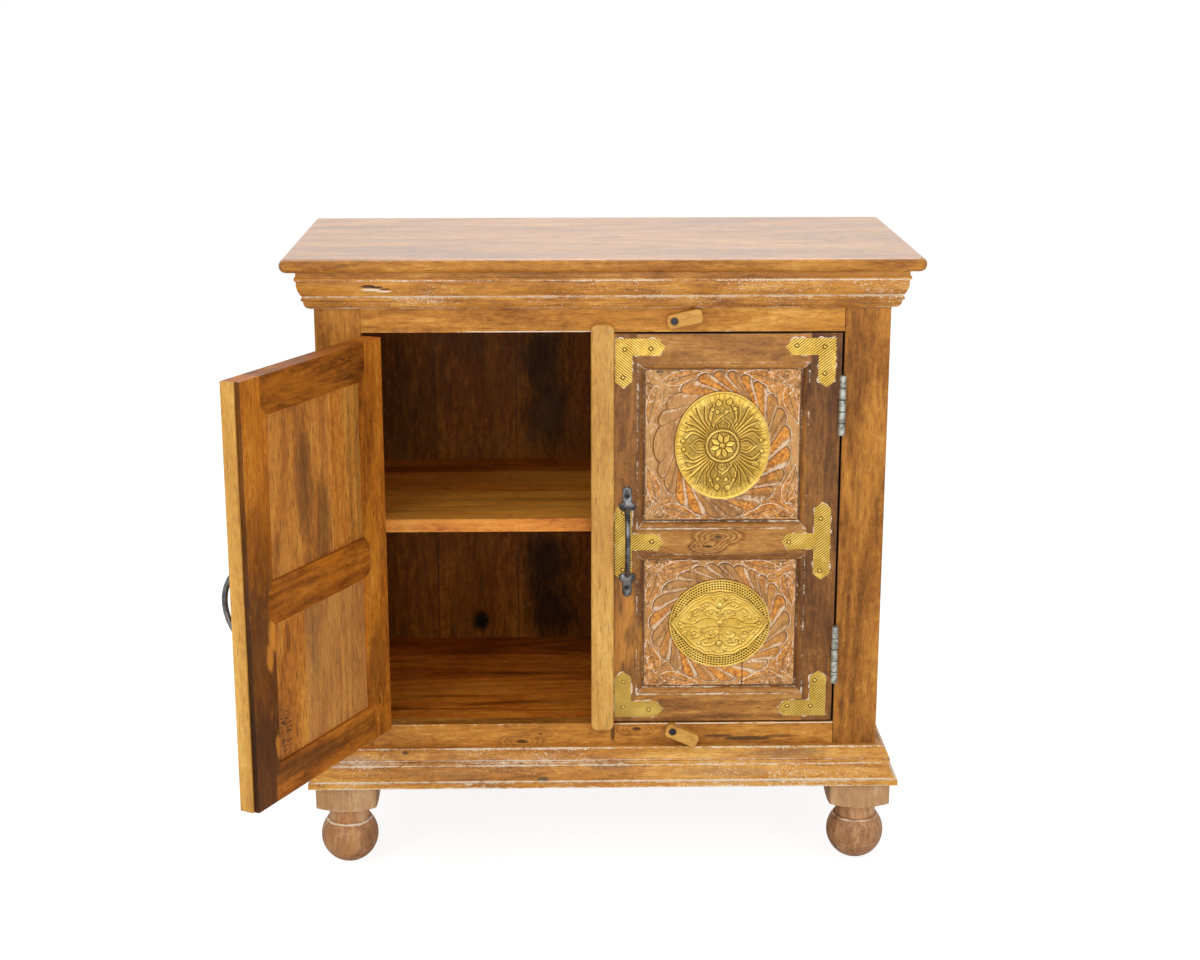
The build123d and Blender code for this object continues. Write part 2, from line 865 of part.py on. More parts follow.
def door_handle(brackets):
    with BuildPart() as handle:
        with BuildLine(bar_side) as bow:
            upper_end = JernArc((half_span, 0), (0, 1), handle_end_radius, end_turn)
            arch = JernArc(upper_end @ 1, upper_end % 1, handle_arch_radius, 180 - 2 * end_turn)
            JernArc(arch @ 1, arch % 1, handle_end_radius, end_turn)
        with BuildSketch(Plane(origin=bow.line @ 0, z_dir=bow.line % 0)):
            Circle(handle_bar_radius)
        sweep(path=bow.line)
        for up in (-1, 1):
            root = handle_height + up * (half_span + handle_bar_radius)
            hole = root + up * (handle_tongue_length - handle_hole_offset)
            with BuildSketch(front_plane(0)):
                with Locations((handle_x, root + up * handle_tongue_length / 2)):
                    Rectangle(2 * handle_tongue_radius, handle_tongue_length)
                with Locations((handle_x, root + up * handle_tongue_length)):
                    Circle(handle_tongue_radius)
                with Locations(
                    (handle_x - handle_lobe_spread, root), (handle_x + handle_lobe_spread, root)
                ):
                    Circle(handle_lobe_radius)
                with Locations((handle_x, hole)):
                    Circle(handle_hole_radius, mode=Mode.SUBTRACT)
            extrude(amount=handle_plate_thickness)
        # The plates lap over the ends of the tee bracket.
        add(brackets, mode=Mode.SUBTRACT)
    return handle.part


right_handle = door_handle(right_brackets)
left_handle = door_handle(left_brackets)


# ---- butt hinges: interleaved knuckles round a pin -------------------------
def hinge_leaves(inner, outer, numbers):
    # The plate let into the edge, and the knuckles that wrap the pin.
    pitch = hinge_length / knuckle_count
    with BuildPart() as leaves:
        for bottom, top in hinge_places:
            block(inner, outer, bottom, top, 0, hinge_leaf_width)
            for number in numbers:
                low = bottom + number * pitch + (knuckle_gap / 2 if number else 0)
                high = bottom + (number + 1) * pitch
                high -= knuckle_gap / 2 if number < knuckle_count - 1 else 0
                with BuildSketch(Plane.XY.offset(low)):
                    with Locations(((inner + outer) / 2, (pin_y + front) / 2)):
                        Rectangle(outer - inner, front - pin_y)
                    with Locations((pin_x, pin_y)):
                        Circle(knuckle_radius)
                extrude(amount=high - low)
        with BuildSketch(Plane.XY.offset(door_bottom)):
            with Locations((pin_x, pin_y)):
                Circle(hinge_pin_radius + hinge_pin_play)
        extrude(amount=door_top - door_bottom, mode=Mode.SUBTRACT)
    return leaves.part


door_pieces["door_hinge_leaves"] = hinge_leaves(
    door_leaf_inner, door_leaf_outer, range(1, knuckle_count, 2)
)
right_frame_leaves = hinge_leaves(frame_leaf_inner, frame_leaf_outer, range(0, knuckle_count, 2))
save(right_frame_leaves, "right_frame_hinge_leaves")
save(mirror(right_frame_leaves, about=Plane.YZ), "left_frame_hinge_leaves")

with BuildPart() as right_hinge_pins:
    for bottom, top in hinge_places:
        with BuildSketch(Plane.XY.offset(bottom)):
            with Locations((pin_x, pin_y)):
                Circle(hinge_pin_radius)
        extrude(amount=hinge_length)
save(right_hinge_pins.part, "right_hinge_pins")
save(mirror(right_hinge_pins.part, about=Plane.YZ), "left_hinge_pins")

# ---- meeting strip: nailed to the right door, laps over the left one -------
strip_bottom = opening_bottom - strip_bottom_overrun
strip_top = opening_top + strip_top_overrun
with BuildPart() as meeting_strip:
    with BuildSketch(front_plane(0)):
        with Locations(((strip_left + strip_right) / 2, (strip_bottom + strip_top) / 2)):
            RectangleRounded(strip_width, strip_top - strip_bottom, strip_end_radius)
    extrude(amount=strip_thickness)
    fillet(meeting_strip.edges().group_by(Axis.Y)[0], strip_edge_radius)
    # The back is eased where it passes over the left door and the two rails.
    cut(strip_left, door_left, strip_bottom, strip_top, -strip_clearance, 0)
    cut(strip_left, strip_right, strip_bottom, door_bottom, -strip_clearance, 0)
    cut(strip_left, strip_right, door_top, strip_top, -strip_clearance, 0)
save(meeting_strip.part, "meeting_strip")

# ---- both doors: the left one is turned open about its pins ----------------
left_pin_axis = Axis((-pin_x, pin_y, 0), (0, 0, 1))


def opened(shape):
    return mirror(shape, about=Plane.YZ).rotate(left_pin_axis, -left_door_open)


for label, right_shape, left_shape in (
    ("meeting_stile", right_meeting_stile, left_meeting_stile),
    ("brass_brackets", right_brackets, left_brackets),
    ("handle", right_handle, left_handle),
):
    save(right_shape, f"right_{label}")
    save(opened(left_shape), f"left_{label}")
for label, shape in door_pieces.items():
    save(shape, f"right_{label}")
    save(opened(shape), f"left_{label}")

with BuildPart() as edge_strip:
    block(
        door_left, door_left + edge_strip_thickness, door_bottom, door_top,
        0, edge_strip_width,
    )
    chamfer(edge_strip.edges(), edge_ease / 2)
save(opened(edge_strip.part), "left_edge_strip")
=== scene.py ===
import bpy
import math
import numpy as np
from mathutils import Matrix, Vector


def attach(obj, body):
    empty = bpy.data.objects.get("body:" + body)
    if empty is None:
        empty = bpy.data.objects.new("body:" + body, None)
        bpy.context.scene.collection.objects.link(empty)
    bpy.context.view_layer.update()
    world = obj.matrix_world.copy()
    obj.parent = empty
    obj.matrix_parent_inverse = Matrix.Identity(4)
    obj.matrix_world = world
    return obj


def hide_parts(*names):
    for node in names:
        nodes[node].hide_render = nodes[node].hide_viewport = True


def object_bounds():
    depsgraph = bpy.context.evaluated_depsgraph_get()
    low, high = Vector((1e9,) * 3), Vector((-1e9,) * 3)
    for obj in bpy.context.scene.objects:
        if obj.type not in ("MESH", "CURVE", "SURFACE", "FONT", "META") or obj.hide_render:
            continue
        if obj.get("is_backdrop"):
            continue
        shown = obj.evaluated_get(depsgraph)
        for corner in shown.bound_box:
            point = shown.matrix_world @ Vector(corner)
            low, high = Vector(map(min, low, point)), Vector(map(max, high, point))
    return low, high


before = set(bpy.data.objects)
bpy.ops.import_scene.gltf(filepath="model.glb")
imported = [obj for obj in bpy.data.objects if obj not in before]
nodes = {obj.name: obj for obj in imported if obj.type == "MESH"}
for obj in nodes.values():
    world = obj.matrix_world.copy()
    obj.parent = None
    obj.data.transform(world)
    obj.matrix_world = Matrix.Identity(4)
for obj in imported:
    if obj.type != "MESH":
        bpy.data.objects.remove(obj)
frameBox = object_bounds()
mm = 0.001

# The carcass and doors, in millimetres. Depth is counted back from the face frame.
cabinet = {
    "faceY": -196.0,
    "pinX": 335.0,
    "pinY": -201.2,
    "openAngle": 117.0,
    "panelLeft": 58.0,
    "panelRight": 279.0,
    "panelPlay": 0.2,
    "upperPanel": (525.0, 746.0),
    "lowerPanel": (274.0, 467.0),
}
panelMiddle = (cabinet["panelLeft"] + cabinet["panelRight"]) / 2
panelHalf = (cabinet["panelRight"] - cabinet["panelLeft"]) / 2
doors = {"left_door": "left", "right_door": "right"}

view = {
    "place": (-0.0598, -2.9436, 1.3191),
    "pitch": -14.90,
    "yaw": -1.149,
    "lens": 60.29,
}


def makeCamera():
    data = bpy.data.cameras.new("portraitCamera")
    data.lens = view["lens"]
    data.sensor_width = 36
    camera = bpy.data.objects.new("portraitCamera", data)
    camera.location = view["place"]
    camera.rotation_euler = (math.radians(90 + view["pitch"]), 0, math.radians(view["yaw"]))
    bpy.context.scene.collection.objects.link(camera)
    bpy.context.scene.camera = camera
    print("camera ready")


makeCamera()


# A socket that does sums, and a bench that adds nodes to one material.
class Wire:
    def __init__(self, bench, socket):
        self.bench = bench
        self.socket = socket

    def sum(self, operation, *values):
        return self.bench.node("ShaderNodeMath", {"operation": operation}, dict(enumerate(values)))

    def __add__(self, other):
        return self.sum("ADD", self, other)

    def __sub__(self, other):
        return self.sum("SUBTRACT", self, other)

    def __rsub__(self, other):
        return self.sum("SUBTRACT", other, self)

    def __mul__(self, other):
        return self.sum("MULTIPLY", self, other)

    def __truediv__(self, other):
        return self.sum("DIVIDE", self, other)

    def __abs__(self):
        return self.sum("ABSOLUTE", self)

    def root(self):
        return self.sum("SQRT", self)

    def sine(self):
        return self.sum("SINE", self)

    def atLeast(self, other):
        return self.sum("MAXIMUM", self, other)


def colour(value):
    return (*value, 1) if isinstance(value, tuple) and len(value) == 3 else value


class Bench:
    def __init__(self, owner):
        self.owner = owner
        owner.use_nodes = True
        self.tree = owner.node_tree
        self.tree.nodes.clear()

    def node(self, kind, settings=None, inputs=None, output=0):
        made = self.tree.nodes.new(kind)
        for key, value in (settings or {}).items():
            if key == "stops":
                self.setStops(made.color_ramp, value)
            else:
                setattr(made, key, value)
        for key, value in (inputs or {}).items():
            if isinstance(value, Wire):
                self.tree.links.new(value.socket, made.inputs[key])
            elif value is not None:
                made.inputs[key].default_value = value
        return Wire(self, made.outputs[output] if made.outputs else None)

    def setStops(self, ramp, stops):
        while len(ramp.elements) < len(stops):
            ramp.elements.new(0.5)
        for element, (spot, tone) in zip(ramp.elements, stops):
            element.position = spot
        for element, (spot, tone) in zip(ramp.elements, stops):
            element.color = colour(tone if isinstance(tone, tuple) else (tone, tone, tone))

    def place(self, side):
        # Where a point is while both doors are shut.
        here = self.node("ShaderNodeTexCoord", output=3)
        if side != "left_door":
            return here
        pin = (-cabinet["pinX"] * mm, cabinet["pinY"] * mm, 0)
        turn = {"Vector": here, "Center": pin, "Angle": math.radians(cabinet["openAngle"])}
        return self.node("ShaderNodeVectorRotate", {"rotation_type": "Z_AXIS"}, turn)

    def parts(self, vector):
        split = self.node("ShaderNodeSeparateXYZ", None, {0: vector})
        return [Wire(self, socket) for socket in split.socket.node.outputs]

    def noise(self, place, scale, seed, detail, rough, warp=0.0):
        # A scale is one number, or one for each axis. Each seed is another spot in the noise.
        shift = (seed * 3.71, seed * 1.93, seed * 5.27)
        scale = scale if isinstance(scale, tuple) else (scale, scale, scale)
        spot = self.node("ShaderNodeMapping", None, {"Vector": place, "Location": shift, "Scale": scale})
        values = {"Vector": spot, "Scale": 1.0, "Detail": detail, "Roughness": rough, "Distortion": warp}
        return self.node("ShaderNodeTexNoise", None, values)

    def mark(self, name):
        # A value that the mesh carries at each of its points.
        return self.node("ShaderNodeAttribute", {"attribute_name": name}, output=2)

    def ramp(self, amount, stops):
        return self.node("ShaderNodeValToRGB", {"stops": stops}, {0: amount})

    def between(self, amount, low, high):
        # 0 at low, 1 at high, smooth in the middle.
        values = {"Value": amount, "From Min": low, "From Max": high}
        return self.node("ShaderNodeMapRange", {"interpolation_type": "SMOOTHSTEP"}, values)

    def blend(self, amount, under, over):
        values = {0: amount, 6: colour(under), 7: colour(over)}
        return self.node("ShaderNodeMix", {"data_type": "RGBA"}, values, 2)

    def bump(self, height, strength, distance):
        values = {"Strength": strength, "Distance": distance, "Height": height}
        return self.node("ShaderNodeBump", None, values)

    def finish(self, **sockets):
        names = {key.replace("_", " "): value for key, value in sockets.items()}
        surface = self.node("ShaderNodeBsdfPrincipled", None, names)
        self.node("ShaderNodeOutputMaterial", None, {0: surface})
        return self.owner


def benchFor(name, side):
    bench = Bench(bpy.data.materials.new(name))
    return bench, bench.place(side)


# Wood tones run from the dark line of a growth ring to the palest wood.
woods = {
    "frame": [
        (0.0, (0.10, 0.030, 0.004)), (0.35, (0.29, 0.103, 0.014)), (0.65, (0.50, 0.205, 0.030)),
        (1.0, (0.74, 0.40, 0.09)),
    ],
    "door": [
        (0.0, (0.070, 0.023, 0.005)), (0.35, (0.21, 0.078, 0.015)), (0.65, (0.40, 0.166, 0.032)),
        (1.0, (0.62, 0.34, 0.09)),
    ],
    "pale": [
        (0.0, (0.34, 0.14, 0.026)), (0.4, (0.55, 0.27, 0.052)), (0.7, (0.68, 0.38, 0.085)),
        (1.0, (0.80, 0.52, 0.16)),
    ],
    "inner": [
        (0.0, (0.045, 0.013, 0.001)), (0.4, (0.14, 0.038, 0.003)), (0.7, (0.27, 0.088, 0.007)),
        (1.0, (0.42, 0.165, 0.018)),
    ],
    "shelf": [
        (0.0, (0.15, 0.036, 0.003)), (0.4, (0.46, 0.112, 0.008)), (0.7, (0.72, 0.232, 0.022)),
        (1.0, (0.88, 0.37, 0.050)),
    ],
    "back": [
        (0.0, (0.10, 0.026, 0.003)), (0.35, (0.27, 0.078, 0.008)), (0.65, (0.50, 0.160, 0.015)),
        (1.0, (0.74, 0.32, 0.045)),
    ],
    "foot": [
        (0.0, (0.15, 0.065, 0.028)), (0.4, (0.35, 0.165, 0.070)), (0.7, (0.55, 0.29, 0.135)),
        (1.0, (0.70, 0.46, 0.26)),
    ],
    "carved": [
        (0.0, (0.14, 0.060, 0.018)), (0.35, (0.31, 0.143, 0.045)), (0.65, (0.50, 0.250, 0.080)),
        (1.0, (0.66, 0.38, 0.150)),
    ],
}
grainAxes = {"x": 0, "y": 1, "z": 2}
limeColour = (0.80, 0.68, 0.51)

# Colours of what lies over the plain wood.
overWood = {
    "dull": (0.36, 0.23, 0.105),
    "pore": (0.05, 0.02, 0.008),
    "knot": (0.035, 0.014, 0.006),
    "seam": (0.010, 0.004, 0.002),
    "scuff": (0.030, 0.012, 0.004),
    "lathe": (0.10, 0.045, 0.016),
    # Painted shade in the gaps between parts.
    "edge": (0.012, 0.006, 0.003),
    # Painted shade in the quirks of the mouldings.
    "quirkShade": (0.055, 0.020, 0.007),
    "haze": (0.62, 0.38, 0.16),
}

# A piece of wood looks like this where it doesn't say otherwise. Places are in millimetres.
plainLook = {
    "grain": "z", "tones": "frame", "seed": 0.0,
    "depth": 0.25,  # a darker piece has more
    "rings": 58.0, "figure": 0.20, "mottle": 0.9, "pores": 0.45,
    "streaks": 0.6, "streakColour": (0.050, 0.018, 0.006),
    "golden": 0.25, "goldColour": (0.60, 0.25, 0.036),
    "dull": 0.0, "haze": 0.05,
    "boards": (),  # axis, where the next board starts, how much lighter and how much duller it is
    "knots": (),  # x, z, size
    "stains": (), "ragged": 1.6, "soft": 0.2,  # x, z, width, height, strength, colour
    "stainedTo": None,  # stains lie only in front of this depth
    "seams": (),  # x of dark lines between boards
    "scuffs": None,  # x, z, width, height
    "turned": None,  # lathe rings below this height
    # The edges entries paint shade on a face next to a gap between parts.
    "edges": (),  # axis, where the dark is, where it has gone, strength
    "lime": None, "flecks": 0.0, "quirkShade": None,
    "gloss": 0.42, "shine": 0.22, "coat": 0.03, "coatRough": 0.3, "coatAbove": None,
}


def ovalSquare(x, z, spotX, spotZ, wide, tall):
    # How far off a spot, squared: 1 on the edge of its oval.
    dx, dz = (x - spotX * mm) / (wide * mm), (z - spotZ * mm) / (tall * mm)
    return dx * dx + dz * dz


def woodGrain(bench, place, look):
    # Returns the wood's colour and the height of its grain.
    look = {**plainLook, **look}
    x, y, z = bench.parts(place)
    spots = {"x": abs(x), "y": y, "z": z}

    def along(lengthwise, across, seed, *fineness):
        scale = [across, across, across]
        scale[grainAxes[look["grain"]]] = lengthwise
        return bench.noise(place, tuple(scale), look["seed"] + seed, *fineness)

    figure = along(1.1, 7.5, 0, 2, 0.45, 0.4)
    fibre = along(22, 190, 1, 5, 0.7)
    patch = along(2.2, 9, 2, 3, 0.55)
    mottle = along(55, 110, 6, 5, 0.75, 0.8)
    knots = None
    for knotX, knotZ, size in look["knots"]:
        # The grain runs round a knot, longer along the board than across it.
        wide, tall = (2.6, 1.0) if look["grain"] == "x" else (1.0, 2.6)
        away = ovalSquare(x, z, knotX, knotZ, wide, tall).root() + (fibre - 0.5) * size
        figure = figure + bench.between(away, size * 5.0, 0.0) * 0.42
        core = bench.between(away, size * 1.1, size * 0.5)
        knots = core if knots is None else knots.atLeast(core)
    rings = (figure * look["rings"] + fibre * 1.6).sine() * 0.5 + 0.5
    mixed = rings * look["figure"] + fibre * 0.85 + patch * 0.85 + mottle * look["mottle"]
    dull = look["dull"]
    for axis, edge, lighter, duller in look["boards"]:
        beyond = bench.between(spots[axis], (edge - 0.3) * mm, (edge + 0.3) * mm)
        mixed = mixed + beyond * lighter
        dull = beyond * duller + dull
    tone = bench.ramp(mixed - look["depth"] - 0.74, woods[look["tones"]])
    streak = bench.between(along(1.5, 24, 3, 4, 0.6, 0.3), 0.55, 0.70)
    tone = bench.blend(streak * look["streaks"], tone, look["streakColour"])
    golden = bench.between(along(3.5, 15, 4, 4, 0.65, 0.6), 0.53, 0.66)
    tone = bench.blend(golden * look["golden"], tone, look["goldColour"])
    pores = bench.between(along(45, 800, 5, 1, 0.4), 0.60, 0.72)
    tone = bench.blend(pores * look["pores"], tone, overWood["pore"])
    tone = bench.blend(dull, tone, overWood["dull"])
    if knots is not None:
        tone = bench.blend(knots * 0.85, tone, overWood["knot"])
    if look["stains"]:
        frayed = (patch * 0.6 + along(22, 70, 8, 5, 0.8) - 0.8) * look["ragged"]
        softer, harder = 0.95 + look["soft"], 0.95 - look["soft"]
        inside = 1.0
        if look["stainedTo"]:
            inside = bench.between(y, look["stainedTo"] * mm, (look["stainedTo"] - 1) * mm)
        for stainX, stainZ, wide, tall, strength, tint in look["stains"]:
            away = ovalSquare(x, z, stainX, stainZ, wide, tall).root() + frayed
            tone = bench.blend(bench.between(away, softer, harder) * strength * inside, tone, tint)
    for seam in look["seams"]:
        line = bench.between(abs(spots["x"] - seam * mm), 0.0011, 0.0004)
        tone = bench.blend(line * 0.85, tone, overWood["seam"])
    if look["scuffs"]:
        # Short dark chatter marks across the grain.
        nearby = bench.between(ovalSquare(x, z, *look["scuffs"]), 1.1, 0.4)
        chatter = bench.between(bench.noise(place, (90, 90, 420), 31.0, 2, 0.5), 0.52, 0.60)
        tone = bench.blend(nearby * chatter * 0.8, tone, overWood["scuff"])
    if look["turned"]:
        lathe = bench.between(bench.noise(place, (4, 4, 330), look["seed"], 3, 0.7), 0.54, 0.66)
        lathe = lathe * bench.between(z, look["turned"] * mm, 0.0)
        tone = bench.blend(lathe * 0.5, tone, overWood["lathe"])
    # Painted shade: the face darkens towards a gap between parts.
    for axis, darkAt, clearAt, strength in look["edges"]:
        gapShade = bench.between(spots[axis], clearAt * mm, darkAt * mm)
        tone = bench.blend(gapShade * strength, tone, overWood["edge"])
    return tone, fibre * 0.5 + rings * 0.25 - pores * 0.7


def limed(bench, place, tone, mask, seed, flecks):
    # White wash that stayed in the low and rough places. Returns the colour and where it lies.
    broken = bench.noise(place, (70, 70, 160), seed + 9, 6, 0.78)
    where = bench.noise(place, (7, 7, 20), seed + 10, 2, 0.5)
    amount = bench.between(mask + broken + where * 0.5, 1.12, 1.28)
    specks = bench.noise(place, (330, 330, 520), seed + 14, 3, 0.7) + where * 0.45 + mask * 0.5
    sprinkled = bench.between(specks, 1.02 - flecks, 1.10 - flecks) * bench.between(mask, 0.08, 0.18)
    amount = amount.atLeast(sprinkled)
    return bench.blend(amount * 0.85, tone, limeColour), amount


def makeWood(name, side="carcass", **look):
    look = {**plainLook, **look}
    seed = look["seed"]
    bench, place = benchFor(name, side)
    tone, height = woodGrain(bench, place, look)
    # Painted shade where a look asks for it, as in the quirks of the door mouldings.
    if look["quirkShade"]:
        tone = bench.blend(look["quirkShade"](bench, place) * 0.75, tone, overWood["quirkShade"])
    if look["lime"]:
        tone, amount = limed(bench, place, tone, look["lime"](bench, place), seed, look["flecks"])
        height = height + amount * 0.4
    haze = bench.noise(place, 6, seed + 7, 4, 0.6)
    tone = bench.blend(bench.between(haze, 0.5, 0.8) * look["haze"], tone, overWood["haze"])
    rough = bench.noise(place, 30, seed + 8, 3, 0.6)
    coat = look["coat"]
    if look["coatAbove"]:
        low, high = (look["coatAbove"] - 1.5) * mm, (look["coatAbove"] + 1) * mm
        coat = bench.between(bench.parts(place)[2], low, high) * coat
    return bench.finish(
        Base_Color=tone,
        Roughness=rough * 0.3 + (look["gloss"] - 0.15),
        Specular_IOR_Level=look["shine"],
        Coat_Weight=coat,
        Coat_Roughness=look["coatRough"],
        Normal=bench.bump(height, 0.35, 0.0004),
    )


def heightLines(bottom, top, stops):
    # Lime on the edges of a moulding, by height up its profile.
    def mask(bench, place):
        share = (bench.parts(place)[2] - bottom * mm) / ((top - bottom) * mm)
        return bench.ramp(share, stops)
    return mask


def aroundPanels(linesFor):
    # Lines round both panel openings, on the front of a door. Its back has none.
    def mask(bench, place):
        x, y, z = bench.parts(place)
        across = abs(abs(x) - panelMiddle * mm) - panelHalf * mm
        lines = None
        for low, high in (cabinet["upperPanel"], cabinet["lowerPanel"]):
            up = abs(z - (low + high) / 2 * mm) - (high - low) / 2 * mm
            these = linesFor(bench, across, up, z - low * mm)
            lines = these if lines is None else lines.atLeast(these)
        return lines * bench.between(y - cabinet["faceY"] * mm, 0.015, 0.014)
    return mask


def limeRound(bench, across, up, overSill):
    # On the moulded edge and in its mitres. More of it stayed on the member below.
    far = across.atLeast(up)
    under = bench.between(overSill, 0.0005, -0.0005)
    edges = bench.ramp(far / (16 * mm), [
        (0.0, 0.34), (0.07, 0.40), (0.14, 0.22), (0.50, 0.26), (0.60, 0.42), (0.68, 0.38), (0.74, 0.05),
        (1.0, 0.0),
    ]) * (under * 0.32 + 0.86)
    mitre = bench.between(abs(across - up), 0.0011, 0.0003) * bench.between(far, 0.0115, 0.0105) * 0.5
    return edges.atLeast(mitre)


def quirkShadeRound(bench, across, up, overSill):
    # Painted shade in the quirks of the moulding and along the edge of the panel opening.
    return bench.ramp(across.atLeast(up) / (16 * mm), [
        (0.0, 0.9), (0.05, 0.75), (0.12, 0.0), (0.49, 0.0), (0.53, 0.65), (0.57, 0.0), (0.76, 0.0),
        (0.79, 0.35), (0.84, 0.0),
    ])


panelEdges = aroundPanels(limeRound)
panelQuirkShade = aroundPanels(quirkShadeRound)


corniceLines = heightLines(834.5, 889, [
    (0.0, 0.46), (0.035, 0.44), (0.055, 0.24), (0.20, 0.26), (0.22, 0.32), (0.24, 0.26), (0.30, 0.30),
    (0.33, 0.58), (0.355, 0.56), (0.375, 0.20), (0.50, 0.24), (0.72, 0.18), (0.76, 0.42), (0.785, 0.42),
    (0.80, 0.14), (1.0, 0.12),
])
baseLines = heightLines(131, 186.5, [
    (0.0, 0.54), (0.03, 0.40), (0.06, 0.26), (0.14, 0.30), (0.16, 0.54), (0.18, 0.50), (0.20, 0.18),
    (0.5, 0.22), (0.56, 0.50), (0.59, 0.30), (0.66, 0.32), (0.69, 0.52), (0.71, 0.30), (0.78, 0.20),
    (0.93, 0.22), (0.965, 0.46), (0.99, 0.44), (1.0, 0.16),
])
footLines = heightLines(0, 131, [
    (0.0, 0.20), (0.04, 0.40), (0.09, 0.34), (0.13, 0.14), (0.485, 0.16), (0.497, 0.46), (0.507, 0.46),
    (0.52, 0.16), (0.66, 0.20), (0.69, 0.44), (0.75, 0.40), (0.79, 0.24), (0.96, 0.26), (1.0, 0.30),
])


def topRailLines(bench, place):
    # A white arris over the open half, little elsewhere.
    x, y, z = bench.parts(place)
    line = bench.between(abs(z - 801.3 * mm), 0.0011, 0.0005)
    openHalf = bench.between(x, -0.24, -0.17) * bench.between(x, 0.03, 0.0)
    return line * (openHalf * 0.40 + 0.10) + 0.15


def bottomRailLines(bench, place):
    # A white arris, stronger under the shut door.
    x, y, z = bench.parts(place)
    line = bench.between(abs(z - 218.8 * mm), 0.0013, 0.0006)
    return line * (bench.between(x, -0.02, 0.04) * 0.24 + 0.16) + 0.16


carvedTones = {
    "brownOrange": (0.38, 0.105, 0.010),
    "orange": (0.82, 0.34, 0.045),
    "hollow": (0.10, 0.036, 0.011),
    "wash": (0.80, 0.61, 0.43),
    "lime": (0.90, 0.79, 0.62),
    "punched": (0.014, 0.008, 0.006),
}


def makeCarvedWood(name, side, seed, backLook):
    # Carved panels: lime in the cuts, orange on the high edges, black in the punched cuts.
    bench, place = benchFor(name, side)
    look = {"tones": "carved", "seed": seed, "streaks": 0.25, "golden": 0.15, "figure": 0.10, "depth": 0.03}
    tone, height = woodGrain(bench, place, look)
    broad = bench.noise(place, 22, seed + 11, 4, 0.65)
    fine = bench.noise(place, 230, seed + 12, 4, 0.7)
    flecks = bench.noise(place, 95, seed + 13, 5, 0.7, 1.5)
    orange = bench.blend(bench.between(flecks, 0.4, 0.6), carvedTones["brownOrange"], carvedTones["orange"])
    warm = bench.between(bench.mark("warm") + broad * 0.9 + flecks * 0.5, 0.86, 1.36)
    tone = bench.blend(warm * 0.88, tone, orange)
    hollow = bench.mark("hollow")
    tone = bench.blend(bench.between(hollow + fine * 0.4, 0.35, 1.0) * 0.8, tone, carvedTones["hollow"])
    wash = bench.between(bench.mark("wash") * 0.8 + flecks * 1.5 + fine * 0.3, 1.24, 1.52)
    tone = bench.blend(wash * 0.72, tone, carvedTones["wash"])
    lime = bench.between(bench.mark("lime") + flecks * 0.5, 0.58, 0.82)
    tone = bench.blend(lime * 0.88, tone, carvedTones["lime"])
    dark = bench.between(bench.mark("dark"), 0.3, 0.8)
    tone = bench.blend(dark, tone, carvedTones["punched"])
    # The panel's back is plain, planed wood.
    plain, grain = woodGrain(bench, place, {"tones": "back", "seed": seed + 30, **backLook})
    behind = bench.between(bench.parts(place)[1] - cabinet["faceY"] * mm, 0.015, 0.016)
    tone = bench.blend(behind, tone, plain)
    return bench.finish(
        Base_Color=tone,
        Roughness=fine * 0.3 + lime * 0.15 + 0.32,
        Specular_IOR_Level=0.25,
        Normal=bench.bump(height + fine * 0.8, 0.45, 0.0006),
    )


metals = {
    "brass": (0.60, 0.37, 0.055),
    "brassBright": (0.74, 0.50, 0.11),
    "brassDark": (0.13, 0.062, 0.007),
    "brassPunched": (0.03, 0.016, 0.004),
    "brassRubbedAndHighlight": (0.84, 0.62, 0.20),
    "hatchPitch": 3.1,
    "upperBracketsFrom": 612.0,
    "steel": (0.50, 0.52, 0.45),
    "steelStain": (0.13, 0.12, 0.09),
    "steelGrit": (0.09, 0.08, 0.06),
    # Painted shade between the knuckles.
    "hingeGap": (0.022, 0.017, 0.012),
    "knuckle": 17.0,
    "knuckles": 5,
    "hingeFeet": (283.0, 653.0),
    "ironLow": (0.045, 0.045, 0.048),
    "ironHigh": (0.19, 0.188, 0.185),
    "ironPits": (0.02, 0.018, 0.016),
}


def makeMetal(name, side, base, dark, rough, metallic):
    # Small plain heads of screws and nails.
    bench, place = benchFor(name, side)
    cloud = bench.noise(place, 60.0, 3.0, 4, 0.6)
    spots = bench.noise(place, 540.0, 5.0, 3, 0.6)
    tone = bench.blend(bench.between(cloud, 0.45, 0.72) * 0.6, base, dark)
    tone = bench.blend(bench.between(spots, 0.58, 0.75) * 0.4, tone, dark)
    return bench.finish(
        Base_Color=tone,
        Metallic=metallic,
        Roughness=cloud * 0.25 + (rough - 0.12),
        Normal=bench.bump(cloud + spots * 0.4, 0.3, 0.0006),
    )


def makeSteel(name, side):
    # Butt hinges: dull steel, with painted shade in the thin gaps between the knuckles.
    bench, place = benchFor(name, side)
    x, y, z = bench.parts(place)
    cloud = bench.noise(place, 120, 3.0, 4, 0.7)
    grit = bench.noise(place, 600, 5.0, 3, 0.6)
    tone = bench.blend(bench.between(cloud, 0.42, 0.62) * 0.8, metals["steel"], metals["steelStain"])
    tone = bench.blend(bench.between(grit, 0.58, 0.72) * 0.5, tone, metals["steelGrit"])
    gaps = None
    for foot in metals["hingeFeet"]:
        for number in range(1, metals["knuckles"]):
            middle = (foot + number * metals["knuckle"]) * mm
            gap = bench.between(abs(z - middle), 0.0011, 0.0004)
            gaps = gap if gaps is None else gaps.atLeast(gap)
    # Painted shade between the knuckles.
    tone = bench.blend(gaps * 0.9, tone, metals["hingeGap"])
    return bench.finish(
        Base_Color=tone,
        Metallic=0.55,
        Roughness=cloud * 0.3 + 0.28,
        Normal=bench.bump(cloud + grit * 0.4 - gaps * 2.0, 0.3, 0.0006),
    )


